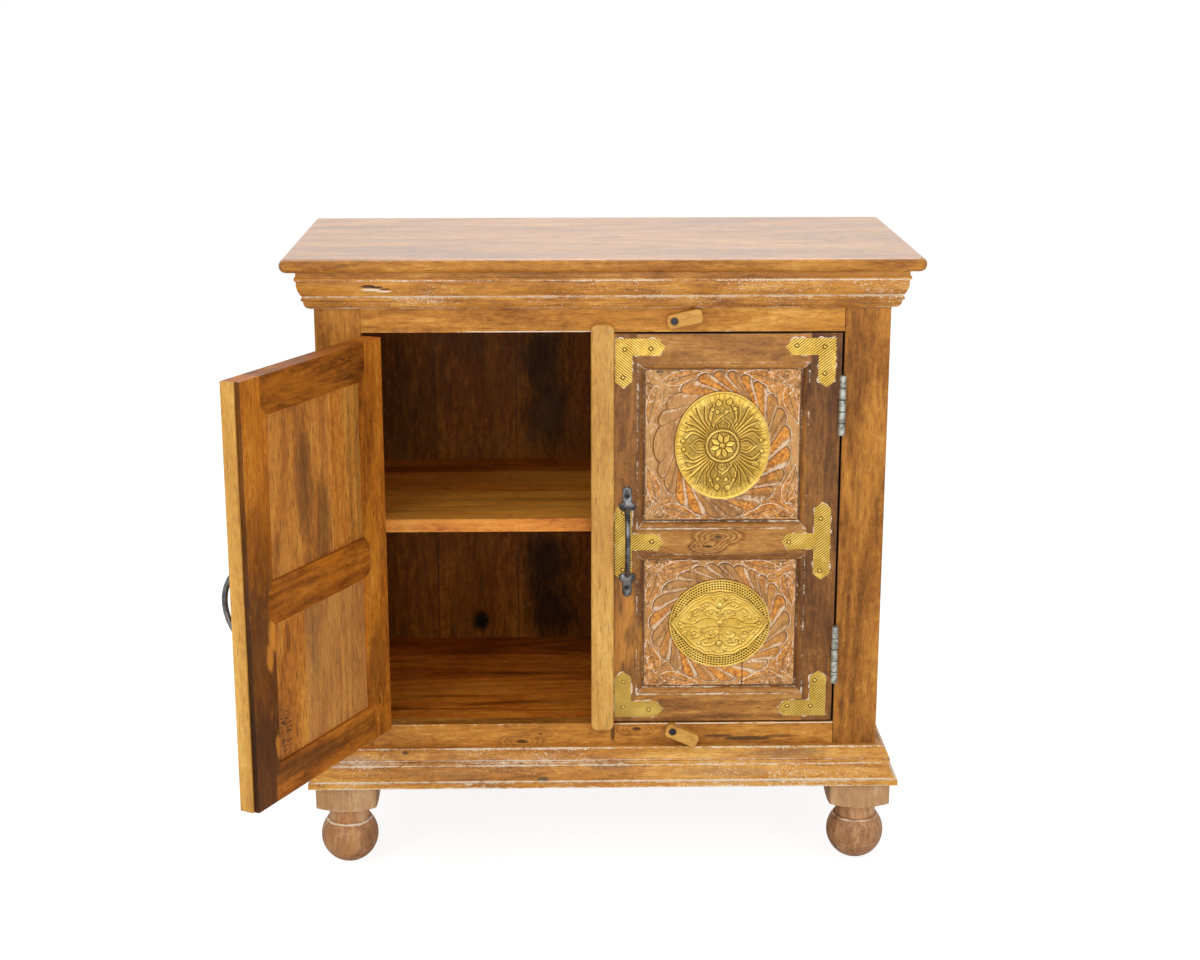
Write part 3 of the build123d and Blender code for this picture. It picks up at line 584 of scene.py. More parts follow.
def makeBrass(name, side, hatch=False):
    # Embossed sheet brass: dark in the low lines, bright where it was rubbed. On the nail domes the bright
    # top is a painted highlight.
    bench, place = benchFor(name, side)
    cloud = bench.noise(place, 45, 3.0, 4, 0.6)
    grit = bench.noise(place, 420, 5.0, 3, 0.65)
    tone = bench.blend(bench.between(cloud, 0.35, 0.68), metals["brass"], metals["brassBright"])
    height = cloud + grit * 0.5
    if hatch:
        # Chased lines lean inwards on the upper brackets and one way on the others.
        x, y, z = bench.parts(place)
        upper = bench.between(z, metals["upperBracketsFrom"] * mm, (metals["upperBracketsFrom"] + 1) * mm)
        lean = abs(abs(x) - panelMiddle * mm) * upper + abs(x) * (1.0 - upper)
        slope = z * 0.78 - lean * 0.62 + cloud * 0.0016
        wave = (slope * (2 * math.pi / (metals["hatchPitch"] * mm))).sine() * 0.5 + 0.5
        worn = bench.between(bench.noise(place, 38, 9.0, 3, 0.6), 0.20, 0.55)
        line = bench.between(wave, 0.34, 0.88) * worn
        tone = bench.blend(line * 0.88, tone, metals["brassDark"])
        height = height - line * 2.0
    else:
        low = bench.between(bench.mark("hollow") + grit * 0.35, 0.34, 0.80)
        tone = bench.blend(low * 0.95, tone, metals["brassDark"])
        tone = bench.blend(bench.between(bench.mark("dark"), 0.3, 0.8), tone, metals["brassPunched"])
        # Bright where rubbed, and the painted highlight on the nail domes.
        tone = bench.blend(bench.between(bench.mark("warm"), 0.3, 1.0) * 0.55, tone, metals["brassRubbedAndHighlight"])
    spots = bench.between(bench.noise(place, 150, 7.0, 4, 0.7), 0.60, 0.74)
    tone = bench.blend(spots * 0.45, tone, metals["brassDark"])
    return bench.finish(
        Base_Color=tone,
        Metallic=0.75,
        Roughness=cloud * 0.25 + spots * 0.2 + 0.27,
        Normal=bench.bump(height, 0.35, 0.0005),
    )


def onDoor(side, across, depth, up):
    # Millimetres on the shut right door to metres. The left door is its open mirror image.
    across, depth, up = np.broadcast_arrays(across, depth, up)
    x, y = across, cabinet["faceY"] + depth
    if side == "left_door":
        turn = -math.radians(cabinet["openAngle"])
        out, back = cabinet["pinX"] - x, y - cabinet["pinY"]
        x = math.cos(turn) * out - math.sin(turn) * back - cabinet["pinX"]
        y = math.sin(turn) * out + math.cos(turn) * back + cabinet["pinY"]
    return np.stack([x, y, up], -1).reshape(-1, 3) * mm


def gridFaces(rows, columns, start=0, loop=False):
    # Quads of a grid of points laid down row after row.
    index = np.arange(rows * columns).reshape(rows, columns) + start
    if loop:
        index = np.concatenate([index, index[:, :1]], 1)
    return np.stack([index[:-1, :-1], index[:-1, 1:], index[1:, 1:], index[1:, :-1]], -1).reshape(-1, 4)


def addPiece(name, body, points, faces, material, marks=None, flat=(), stands=()):
    faces = [tuple(int(i) for i in face) for face in faces]
    if body == "left_door":
        # Its points are a mirror image, so its faces turn over.
        faces = [face[::-1] for face in faces]
    mesh = bpy.data.meshes.new(name)
    mesh.from_pydata(np.asarray(points).tolist(), [], faces)
    mesh.polygons.foreach_set("use_smooth", [index not in flat for index in range(len(faces))])
    for key, values in (marks or {}).items():
        layer = mesh.attributes.new(key, "FLOAT", "POINT")
        layer.data.foreach_set("value", np.asarray(values, dtype=np.float32))
    mesh.materials.append(material)
    piece = bpy.data.objects.new(name, mesh)
    bpy.context.scene.collection.objects.link(piece)
    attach(piece, body)
    for node in stands:
        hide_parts(node)


def smoothLine(*points, count=8):
    # A smooth run through a few given points.
    spots = np.array(points, dtype=float)
    ends = np.concatenate([2 * spots[:1] - spots[1:2], spots, 2 * spots[-1:] - spots[-2:-1]])
    run = []
    for before, start, end, after in zip(ends, ends[1:], ends[2:], ends[3:]):
        for t in np.linspace(0, 1, count, endpoint=False):
            bend = (2 * before - 5 * start + 4 * end - after) * t**2
            twist = (3 * start - before - 3 * end + after) * t**3
            run.append(0.5 * (2 * start + (end - before) * t + bend + twist))
    return np.array(run + [spots[-1]])


def unit(value):
    return np.clip(value, 0, 1)


def toward(angle):
    return np.array([math.cos(angle), math.sin(angle)])


def hill(value, middle, width):
    # 1 at the middle, fading smoothly to both sides.
    return np.exp(-(((value - middle) / width) ** 2))


def ovalRadius(angle, half):
    # How far the rim of an oval is from its middle, in one direction.
    return 1 / np.hypot(np.cos(angle) / half[0], np.sin(angle) / half[1])


def spiral(middle, radius, turns, start=0.0, hand=1, inner=0.25):
    share = np.linspace(0, 1, int(14 * turns) + 3)
    angle = math.radians(start) + hand * 2 * math.pi * turns * share
    reach = radius * (1 - (1 - inner) * share)
    return np.stack([middle[0] + reach * np.cos(angle), middle[1] + reach * np.sin(angle)], -1)


class Relief:
    # A carved or pressed face: layers of values over a spread of points in millimetres.
    def __init__(self, across, up):
        self.across, self.up = across.ravel(), up.ravel()
        names = ("raised", "cut", "lime", "wash", "dark", "warm", "hollow")
        self.layers = {name: np.zeros(self.across.size) for name in names}

    def most(self, layer, spots, amount):
        values = self.layers[layer]
        values[spots] = np.maximum(values[spots], amount)

    def cover(self, **layers):
        for layer, amount in layers.items():
            self.most(layer, slice(None), amount)

    def nearLine(self, line, reach):
        # Points near a line, their distance from it and how far along it they are.
        low, high = line.min(0) - reach, line.max(0) + reach
        inside = np.flatnonzero(
            (self.across > low[0]) & (self.across < high[0]) & (self.up > low[1]) & (self.up < high[1])
        )
        spots = np.stack([self.across[inside], self.up[inside]], -1)
        gap = np.full(inside.size, 1e6)
        along = np.zeros(inside.size)
        steps = np.hypot(*(line[1:] - line[:-1]).T)
        marks = np.append(0, steps.cumsum()) / steps.sum()
        for start, end, first, last in zip(line, line[1:], marks, marks[1:]):
            span = end - start
            share = unit((spots - start) @ span / (span @ span))
            away = np.hypot(*(spots - start - share[:, None] * span).T)
            closer = away < gap
            gap[closer] = away[closer]
            along[closer] = (first + share * (last - first))[closer]
        return inside, gap, along

    def stroke(self, line, width, raised=0.0, cut=0.0, taper=0.0, **marks):
        inside, gap, along = self.nearLine(line, width)
        half = width / 2 * (1 - taper * along) + 0.1
        body = 1 - unit(gap / half) ** 2
        self.most("raised", inside, raised * body)
        self.most("cut", inside, cut * body)
        for layer, strength in marks.items():
            self.most(layer, inside, strength * body)

    def leaf(self, line, width, raised, outline=0.8, **marks):
        # A pointed leaf, hollow towards its vein and outlined with a cut.
        inside, gap, along = self.nearLine(line, width)
        half = width / 2 * np.sin(math.pi * unit(along) ** 0.75) + 0.1
        body = unit((half - gap) / 1.2 + 0.5)
        hollow = unit(gap / half)
        self.most("raised", inside, raised * body * (0.45 + 0.55 * hollow))
        edge = hill(gap - half, 0.5, 0.75)
        self.most("cut", inside, outline * edge)
        for layer, strength in marks.items():
            amount = edge if layer in ("lime", "hollow") else body * hollow
            self.most(layer, inside, strength * amount)

    def disc(self, middle, radius, raised=0.0, cut=0.0, **marks):
        gap = np.hypot(self.across - middle[0], self.up - middle[1])
        inside = np.flatnonzero(gap < radius)
        body = 1 - (gap[inside] / radius) ** 2
        self.most("raised", inside, raised * np.sqrt(body))
        self.most("cut", inside, cut * np.sqrt(body))
        for layer, strength in marks.items():
            self.most(layer, inside, strength * body**0.3)

    def ring(self, middle, radius, width, **marks):
        self.stroke(spiral(middle, radius, 1, inner=1.0), width, **marks)


# The carved panels. Cusps are where two petals meet, in degrees round the wreath,
# and a petal leans one way round or the other: it is low at its start and high at its end.
carving = {
    "step": 1.05,
    "depth": 9.0,
    "rise": 3.5,
    "twist": 21.0,
    "seed": 41,
    # Depth and reach round the field: its step, the tongue in the frame's groove, and the back.
    "section": ((9, 0), (10.5, 0), (10.5, 6.8), (18.5, 6.8), (18.5, 0), (23, 0)),
    "seamHalf": 0.6,
    "seamDepth": 0.8,
    "upper": {
        "panel": cabinet["upperPanel"],
        "reach": (98.0, 108.0),
        "medallion": (67.5, 78.5),
        "cusps": (
            0, 19, 36, 50, 66, 77, 88, 99, 112, 129, 147, 163, 197, 211, 228, 243, 259, 275, 290, 306, 321,
            339,
        ),
        "backward": (200, 305),
        "shy": (122, 215),
        "seamAt": None,
        "woodSeed": 5.0,
        "hot": None,
        "backLook": {
            "depth": 0.03, "streaks": 0.45, "pores": 0.8, "dull": 0.12,
            "boards": [("x", 205.3, 0.11, -0.08)], "ragged": 2.4, "soft": 0.4,
            "stains": [
                (-145, 640, 20, 80, 0.5, (0.080, 0.036, 0.012)),
                (-185, 575, 16, 60, 0.55, (0.080, 0.036, 0.012)),
                (-75, 560, 10, 40, 0.5, (0.13, 0.035, 0.008)),
            ],
        },
    },
    "lower": {
        "panel": cabinet["lowerPanel"],
        "reach": (102.0, 91.0),
        "medallion": (73.0, 66.5),
        "cusps": (
            12, 28, 41, 53, 64, 78, 93, 105, 118, 134, 153, 171, 188, 204, 220, 235, 251, 270, 288, 307,
            322, 338, 353,
        ),
        "backward": (72, 315),
        "shy": None,
        "seamAt": 34.0,
        "woodSeed": 8.0,
        # Brown petals above, hot ones below.
        "hot": lambda bearing: np.where(
            (bearing > 75) & (bearing < 165), 0.35, np.where((bearing > 235) & (bearing < 305), 1.3, 0.75),
        ),
        "backLook": {
            "depth": -0.09, "streaks": 0.5, "pores": 0.8, "dull": 0.05,
            "boards": [("x", 131.7, -0.03, 0.24)], "scuffs": (-76, 312, 20, 42),
            "stains": [(-92, 440, 5, 22, 0.6, (0.13, 0.035, 0.008))],
        },
    },
}


def carveWreath(relief, look, random):
    across, up = relief.across, relief.up
    out = np.hypot(across / look["reach"][0], up / look["reach"][1])
    bearing = np.degrees(np.arctan2(up, across))
    inner = ovalRadius(np.radians(bearing), look["medallion"])
    outer = ovalRadius(np.radians(bearing), look["reach"])
    radius = np.hypot(across, up)
    spread = np.clip((radius - inner) / (outer - inner), 0, 1.2)
    cusps = np.array(look["cusps"], dtype=float)
    turned = (bearing + carving["twist"] * unit(1 - spread) ** 1.9 - cusps[0]) % 360
    starts = cusps - cusps[0]
    ends = np.append(starts[1:], 360)
    petal = np.searchsorted(starts, turned, side="right") - 1
    width = ends[petal] - starts[petal]
    share = (turned - starts[petal]) / width
    middle = (starts + ends) / 2 + cusps[0]

    def lyingIn(low, high):
        return ((middle % 360 > low) & (middle % 360 < high))[petal]

    backward = lyingIn(*look["backward"])
    rise = np.where(backward, 1 - share, share)
    scallop = 1 - 0.065 * np.abs(2 * share - 1) ** 2.6
    rimGap = (scallop - out) * outer
    seamGap = np.minimum(share, 1 - share) * np.radians(width) * radius
    within = unit(rimGap / 1.6)
    # Petals differ, and each one shows the strokes of the gouge along its length.
    lively = random.uniform(0, 1, cusps.size)[petal]
    strokes = 0.5 + 0.5 * np.sin(share * 17 + spread * 3 + lively * 9)
    height = 0.35 + carving["rise"] * rise**0.85
    height -= 1.5 * unit((rise - 0.84) / 0.16) ** 2
    height -= 0.6 * np.sin(math.pi * unit(spread)) * (1 - rise) + 0.35 * strokes
    shy = np.zeros_like(height)
    if look["shy"]:
        shy = lyingIn(*look["shy"]).astype(float)
        height = height * (1 - shy) + shy * (1.9 + 0.7 * rise)
    relief.layers["raised"] += height * within
    seam = hill(seamGap, 0, 0.8) * (rimGap > 0)
    groove = hill(rimGap, -0.9, 1.0)
    relief.cover(cut=0.7 * seam)
    relief.cover(cut=1.1 * groove)
    relief.cover(lime=0.62 * groove * (1 - 0.5 * shy))
    relief.cover(lime=0.50 * hill(seamGap, 0.9, 0.7) * (rise < 0.5) * (rimGap > 0))
    relief.cover(lime=0.26 * unit(strokes - 0.9) * 10 * within * (rise < 0.6))
    # Painted shade beside the groove round the wreath.
    relief.cover(hollow=hill(rimGap, 0.2, 0.8))
    # Filler round the medallion, mostly at its lower right, and a painted shadow line round the rest of it.
    beside = hill(radius - inner, 0.6, 0.9)
    filled = (bearing > -125) & (bearing < 35)
    relief.cover(lime=0.62 * beside * filled)
    relief.cover(hollow=0.9 * beside * ~filled)
    relief.cover(hollow=0.8 * seam)
    relief.cover(hollow=(0.50 - 0.3 * lively) * within * hill(rise, 0.42, 0.2) * (1 - 0.5 * shy))
    relief.cover(wash=(0.45 + 0.55 * lively) * hill(rise, 0.14, 0.2) * within * (1 - 0.4 * shy))
    # Some petals kept the orange, others are worn brown.
    hot = look["hot"](middle % 360)[petal] if look["hot"] else 1.0
    warm = unit((rise - 0.1) / 0.4) * (0.62 + 0.16 * strokes) * (0.35 + 0.65 * lively) * hot
    relief.cover(warm=within * warm * (1 - 0.85 * shy))
    relief.layers["bare"] = (rimGap < -1.5).astype(float)
    # Round a petal that was left plain the ground is plain too.
    relief.cover(warm=0.34 * relief.layers["bare"] * (across > -30 if look["shy"] else 1))


def carveCorner(relief, look, flipX, flipZ, random):
    # One corner: a stem from the wreath, two leaves along the edges, curls and punched cuts.
    low, high = look["panel"]
    halfX, halfZ = panelHalf, (high - low) / 2
    squash = halfZ / halfX

    def put(points, jitter=1.2):
        points = np.array(points, dtype=float) + random.uniform(-jitter, jitter, (len(points), 2))
        return np.stack([flipX * (halfX - points[:, 0]), flipZ * (halfZ - points[:, 1] * squash)], -1)

    def swapped(points):
        return [(b, a) for a, b in points]

    relief.stroke(smoothLine(*put([(3, 4), (11, 16), (24, 24), (39, 33)])), 7.5, raised=1.7, warm=0.4)
    for offset in (4.6, -4.6):
        rail = [
            (3 + offset * 0.4, 4 - offset * 0.4), (11 + offset * 0.7, 16 - offset * 0.5),
            (24 + offset * 0.9, 24 - offset * 0.9),
        ]
        relief.stroke(smoothLine(*put(rail, 1.3)), 1.5, cut=1.2, lime=0.6, hollow=0.5)
    relief.ring(put([(32, 31)])[0], 3.6, 1.8, raised=1.3, hollow=0.5)
    leaf = [(25, 18), (42, 16), (60, 10), (80, 5)]
    for shape in (leaf, swapped(leaf)):
        line = smoothLine(*put(shape))
        relief.leaf(line, 17.5, 2.0, outline=1.3, lime=0.7, warm=0.75)
        relief.stroke(line, 1.8, cut=0.6, hollow=0.8)
        for share in (0.2, 0.33, 0.46, 0.6, 0.72):
            at = line[int(share * (len(line) - 1))]
            ahead = line[min(int(share * (len(line) - 1)) + 5, len(line) - 1)] - at
            ahead = ahead / np.hypot(*ahead)
            for hand in (-1, 1):
                side = np.array([-ahead[1], ahead[0]]) * hand
                tip = at + ahead * 7 + side * 6.5 * (1 - share * 0.6)
                relief.stroke(
                    smoothLine(at, at + ahead * 2 + side * 3.5, tip), 1.4, cut=0.5, taper=0.6, hollow=0.6,
                )
    small = [(6, 22), (9, 33), (7, 47)]
    for shape in (small, swapped(small)):
        relief.leaf(smoothLine(*put(shape)), 8.5, 1.6, outline=1.0, lime=0.5, warm=0.5)
    curlHand = flipX * flipZ
    for middle, start, hand in (((23, 8), 200, 1), ((5.5, 25), 80, -1)):
        centre = put([middle], 1.5)[0]
        relief.disc(centre, 5.5, raised=1.5)
        curl = spiral(centre, 4.8, 1.4, start * flipX, hand * curlHand)
        relief.stroke(curl, 1.9, cut=1.7, taper=0.4, hollow=0.9, dark=0.55 if middle[0] > 10 else 0.0)
    for first, last in (((15, 5), (27, 3.5)), ((33, 3), (37, 8)), ((47, 2.5), (50, 6)), ((3, 38), (5.5, 47))):
        relief.stroke(smoothLine(*put([first, last], 1.5)), 1.7, cut=1.9, taper=0.5, dark=1.0)
    # Tool marks on the ground.
    for number in range(70):
        a, b = random.uniform(3, 56), random.uniform(3, 56)
        if a + b < 88:
            angle = random.uniform(0, math.pi)
            reach = toward(angle) * random.uniform(1.2, 3.6)
            at = put([(a, b)], 0)[0]
            pale = random.uniform(0, 1) < 0.6
            relief.stroke(
                np.array([at - reach, at + reach]), 1.3, cut=0.5, lime=0.62 * pale, hollow=0.6 * (not pale),
            )


def carvedPanel(side, field):
    look = carving[field]
    play = cabinet["panelPlay"]
    low, high = look["panel"][0] + play, look["panel"][1] - play
    left, right = cabinet["panelLeft"] + play, cabinet["panelRight"] - play
    middle = (low + high) / 2
    columns = int((right - left) / carving["step"]) + 1
    rows = int((high - low) / carving["step"]) + 1
    across, up = np.meshgrid(np.linspace(left, right, columns), np.linspace(low, high, rows))
    relief = Relief(across - panelMiddle, up - middle)
    random = np.random.default_rng(carving["seed"] + len(field) + (field == "lower") * 5)
    carveWreath(relief, look, random)
    for flipX in (-1, 1):
        for flipZ in (-1, 1):
            carveCorner(relief, look, flipX, flipZ, random)
    layers = relief.layers
    bare = layers.pop("bare")
    rough = random.normal(0, 1, (rows, columns))
    rough = (rough + np.roll(rough, 1, 0) + np.roll(rough, 1, 1)) / 3
    height = layers["raised"] - layers["cut"] - 1.0 * bare + rough.ravel() * (0.05 + 0.16 * bare)
    layers["wash"] = np.maximum(layers["wash"], 0.30 * bare)
    # Nothing is carved in the last millimetre and a half beside the frame.
    edge = np.minimum.reduce([across - left, right - across, up - low, high - up]).ravel()
    height = np.clip(height, -2.2, 4.2) * unit(edge / 1.5)
    # Painted shade where the panel meets the frame.
    layers["hollow"] = np.maximum(layers["hollow"], 0.8 * hill(edge, 0, 2.0))
    layers["lime"] = np.maximum(layers["lime"], 0.4 * hill(edge, 2.2, 1.0))
    if look["seamAt"]:
        crack = np.abs(relief.across - look["seamAt"]) < 0.8
        layers["dark"][crack & (relief.up < -45)] = 0.7
        height -= carving["seamDepth"] * crack
    front = onDoor(side, across.ravel(), carving["depth"] - height, up.ravel())
    faces = gridFaces(rows, columns)
    inOval = np.hypot(
        (across - panelMiddle) / look["medallion"][0], (up - middle) / look["medallion"][1],
    ).ravel() < 0.93
    faces = faces[~inOval[faces].all(1)]

    # The section swept round the field.
    index = np.arange(rows * columns).reshape(rows, columns)
    border = np.concatenate([index[0, :-1], index[:-1, -1], index[-1, :0:-1], index[:0:-1, 0]])
    xs, zs = across.ravel()[border], up.ravel()[border]
    outX = np.where(xs < left + 0.01, -1, 0) + np.where(xs > right - 0.01, 1, 0)
    outZ = np.where(zs < low + 0.01, -1, 0) + np.where(zs > high - 0.01, 1, 0)
    points = [front]
    walls = []
    start = rows * columns
    section = carving["section"]
    for depth, reach in section:
        points.append(onDoor(side, xs + outX * reach, depth, zs + outZ * reach))
    walls.append(gridFaces(len(section), border.size, start, loop=True)[:, ::-1])
    start += border.size * len(section)
    # Three boards on the back, with a V at each seam.
    third = panelHalf / 3
    back, half = section[-1][0], carving["seamHalf"]
    columnsBack = [(left, back)]
    for seam in (panelMiddle - third, panelMiddle + third):
        columnsBack += [(seam - half, back), (seam, back - carving["seamDepth"]), (seam + half, back)]
    columnsBack.append((right, back))
    xs, depths = np.array(columnsBack).T
    for z in (high, low):
        points.append(onDoor(side, xs, depths, z))
    walls.append(gridFaces(2, xs.size, start))
    points = np.concatenate(points)
    faces = np.concatenate([faces] + walls)
    used = np.zeros(len(points), bool)
    used[faces] = True
    renumber = np.cumsum(used) - 1
    marks = {
        key: np.append(values, np.zeros(len(points) - values.size))[used]
        for key, values in layers.items() if key not in ("raised", "cut")
    }
    wallCount = sum(len(wall) for wall in walls)
    flat = set(range(len(faces) - wallCount, len(faces)))
    short = doors[side]
    name = f"{short}_{field}_carving"
    material = makeCarvedWood(name + "Wood", side, look["woodSeed"], look["backLook"])
    stands = (f"{short}_{field}_carved_panel",)
    addPiece(name, side, points[used], renumber[faces], material, marks, flat, stands)


for side in doors:
    for field in ("upper", "lower"):
        carvedPanel(side, field)
print("panels carved")


def pressedOval(halfX, halfZ, rings, spokes):
    # Points of an oval from its middle outwards, and its faces.
    share = np.linspace(0, 1, rings + 1)[1:] ** 0.85
    angle = np.linspace(0, 2 * math.pi, spokes, endpoint=False)
    across = np.append(0, (share[:, None] * np.cos(angle) * halfX).ravel())
    up = np.append(0, (share[:, None] * np.sin(angle) * halfZ).ravel())
    faces = [(0, 1 + k, 1 + (k + 1) % spokes) for k in range(spokes)]
    faces += [tuple(face) for face in gridFaces(rings, spokes, 1, loop=True)[:, ::-1]]
    return across, up, faces


# The brass medallions, pressed from sheet and nailed over the middle of each wreath.
pressing = {
    "rings": 96,
    "spokes": 520,
    "seat": 6.6,
    "thickness": 1.2,
    "dome": 1.1,
    "relief": 1.25,
}


def pressFlower(relief):
    # A centre flower in a ring, four buds, feathered leaves between them and sprays above and below.
    halfX, halfZ = carving["upper"]["medallion"]
    relief.ring((0, 0), 22.7, 3.4, raised=1.5, warm=0.8)
    relief.ring((0, 0), 19.9, 1.4, hollow=0.9, cut=0.3)
    relief.ring((0, 0), 25.6, 1.6, hollow=0.9, cut=0.3)
    relief.disc((0, 0), 3.7, raised=1.5, warm=0.6)
    relief.ring((0, 0), 4.6, 1.2, hollow=0.8)
    for number in range(8):
        angle = math.radians(number * 45 + 15)
        aim = toward(angle)
        relief.leaf(smoothLine(aim * 5, aim * 12, aim * 18.8), 7.6, 1.1, outline=0.35, hollow=0.9, warm=0.6)
    for bearing, tip in ((0, 48.8), (90, 40), (180, 46), (270, 42)):
        angle = math.radians(bearing)
        aim = toward(angle)
        side = np.array([-aim[1], aim[0]])
        for width, wide in ((9.5, 1.9), (5.2, 1.4)):
            for hand in (-1, 1):
                root = aim * 25 + side * hand * width * 0.72
                belly = aim * (25 + (tip - 25) * 0.45) + side * hand * width
                line = smoothLine(root, belly, aim * (tip - (9.5 - width) * 1.6))
                relief.stroke(line, wide, raised=1.25, warm=0.75)
                shift = side * hand * 1.5
                relief.stroke(line + shift, 1.5, cut=0.2, hollow=0.9)
        relief.stroke(smoothLine(aim * 27, aim * (tip - 12)), 1.6, raised=0.8)
    # Feathers fan out between the buds.
    for turn in (0, 90, 180, 270):
        base = math.radians(45 + turn)
        for number in range(7):
            spread = (number - 3) / 3
            startAngle = base + math.radians(spread * 20)
            endAngle = base + math.radians(spread * 33)
            reach = 66 - 9 * spread**2 - (number % 2) * 3
            stretch = ovalRadius(endAngle, (halfX, halfZ)) / 73
            end = toward(endAngle) * reach * stretch
            start = toward(startAngle) * 28.5
            bendAngle = base + math.radians(spread * 21)
            bend = toward(bendAngle) * 46
            line = smoothLine(start, bend, end)
            relief.stroke(line, 1.7, raised=1.0, taper=-0.7, warm=0.45)
            nudge = np.array([-(end - start)[1], (end - start)[0]]) / np.hypot(*(end - start)) * 2.0
            relief.stroke(line + nudge, 1.3, cut=0.25, taper=-0.3, hollow=0.95)
    for middle, hand in (((49, 29), 1), ((48, -26), -1), ((-48, 28), -1), ((-46, -26), 1)):
        relief.disc(middle, 5.2, raised=0.9)
        relief.stroke(spiral(middle, 4.4, 1.3, 120, hand), 1.5, raised=1.5, hollow=0.6)
        relief.disc(middle, 1.8, raised=1.7, warm=0.6)
    for middle in ((56, -8), (-55, -5), (55, 8), (-56, 7)):
        relief.disc(middle, 3.4, raised=1.0)
        relief.ring(middle, 3.2, 1.2, hollow=0.8)
    # Crossed stems, blossoms and tulips above; a smaller spray below.
    sprays = {
        1: {
            "stems": [
                [(-14, 27), (-5, 40), (12, 52)], [(15, 27), (9, 40), (-9, 49)],
                [(-19, 26), (-17, 38), (-15, 48)], [(21, 26), (19, 40), (19, 51)],
            ],
            "blossoms": [(-15, 53, 20), (-7, 49, -15), (5, 50, 25), (17, 54, 15)],
            "tulips": [(-6, 62, 100), (9, 64, 75)],
        },
        -1: {
            "stems": [
                [(-12, 27), (-7, 38), (-11, 47)], [(14, 27), (8, 38), (12, 47)],
                [(-20, 27), (-19, 38), (-22, 46)], [(20, 27), (20, 38), (20, 47)],
            ],
            "blossoms": [(-16, 50, 30), (-6, 48, -10), (6, 49, 15), (17, 50, -20)],
            "tulips": [(-7, 61, 75), (8, 62, 105)],
        },
    }
    for up, spray in sprays.items():
        for stem in spray["stems"]:
            line = smoothLine(*[(a, b * up) for a, b in stem])
            relief.stroke(line, 2.0, raised=1.1, warm=0.5)
            relief.stroke(line + np.array([1.7, 0]), 1.3, hollow=0.85, cut=0.2)
        for kind, size, wide in (("blossoms", 6.5, 6.0), ("tulips", 10, 8.5)):
            for a, b, tilt in spray[kind]:
                aim = toward(math.radians(tilt)) * (1, up)
                at = np.array([a, b * up])
                petals = smoothLine(at - aim * size / 2, at, at + aim * size / 2)
                relief.leaf(petals, wide, 1.3, outline=0.3, hollow=0.9, warm=0.7)
    # Short strokes all round, just inside the rim.
    for number in range(84):
        angle = 2 * math.pi * (number + 0.3 * math.sin(number * 2.3)) / 84
        aim = np.array([halfX * math.cos(angle), halfZ * math.sin(angle)])
        relief.stroke(
            np.array([aim * (0.84 + 0.03 * math.sin(number * 1.7)), aim * 0.955]), 1.5, hollow=0.55, cut=0.2,
        )


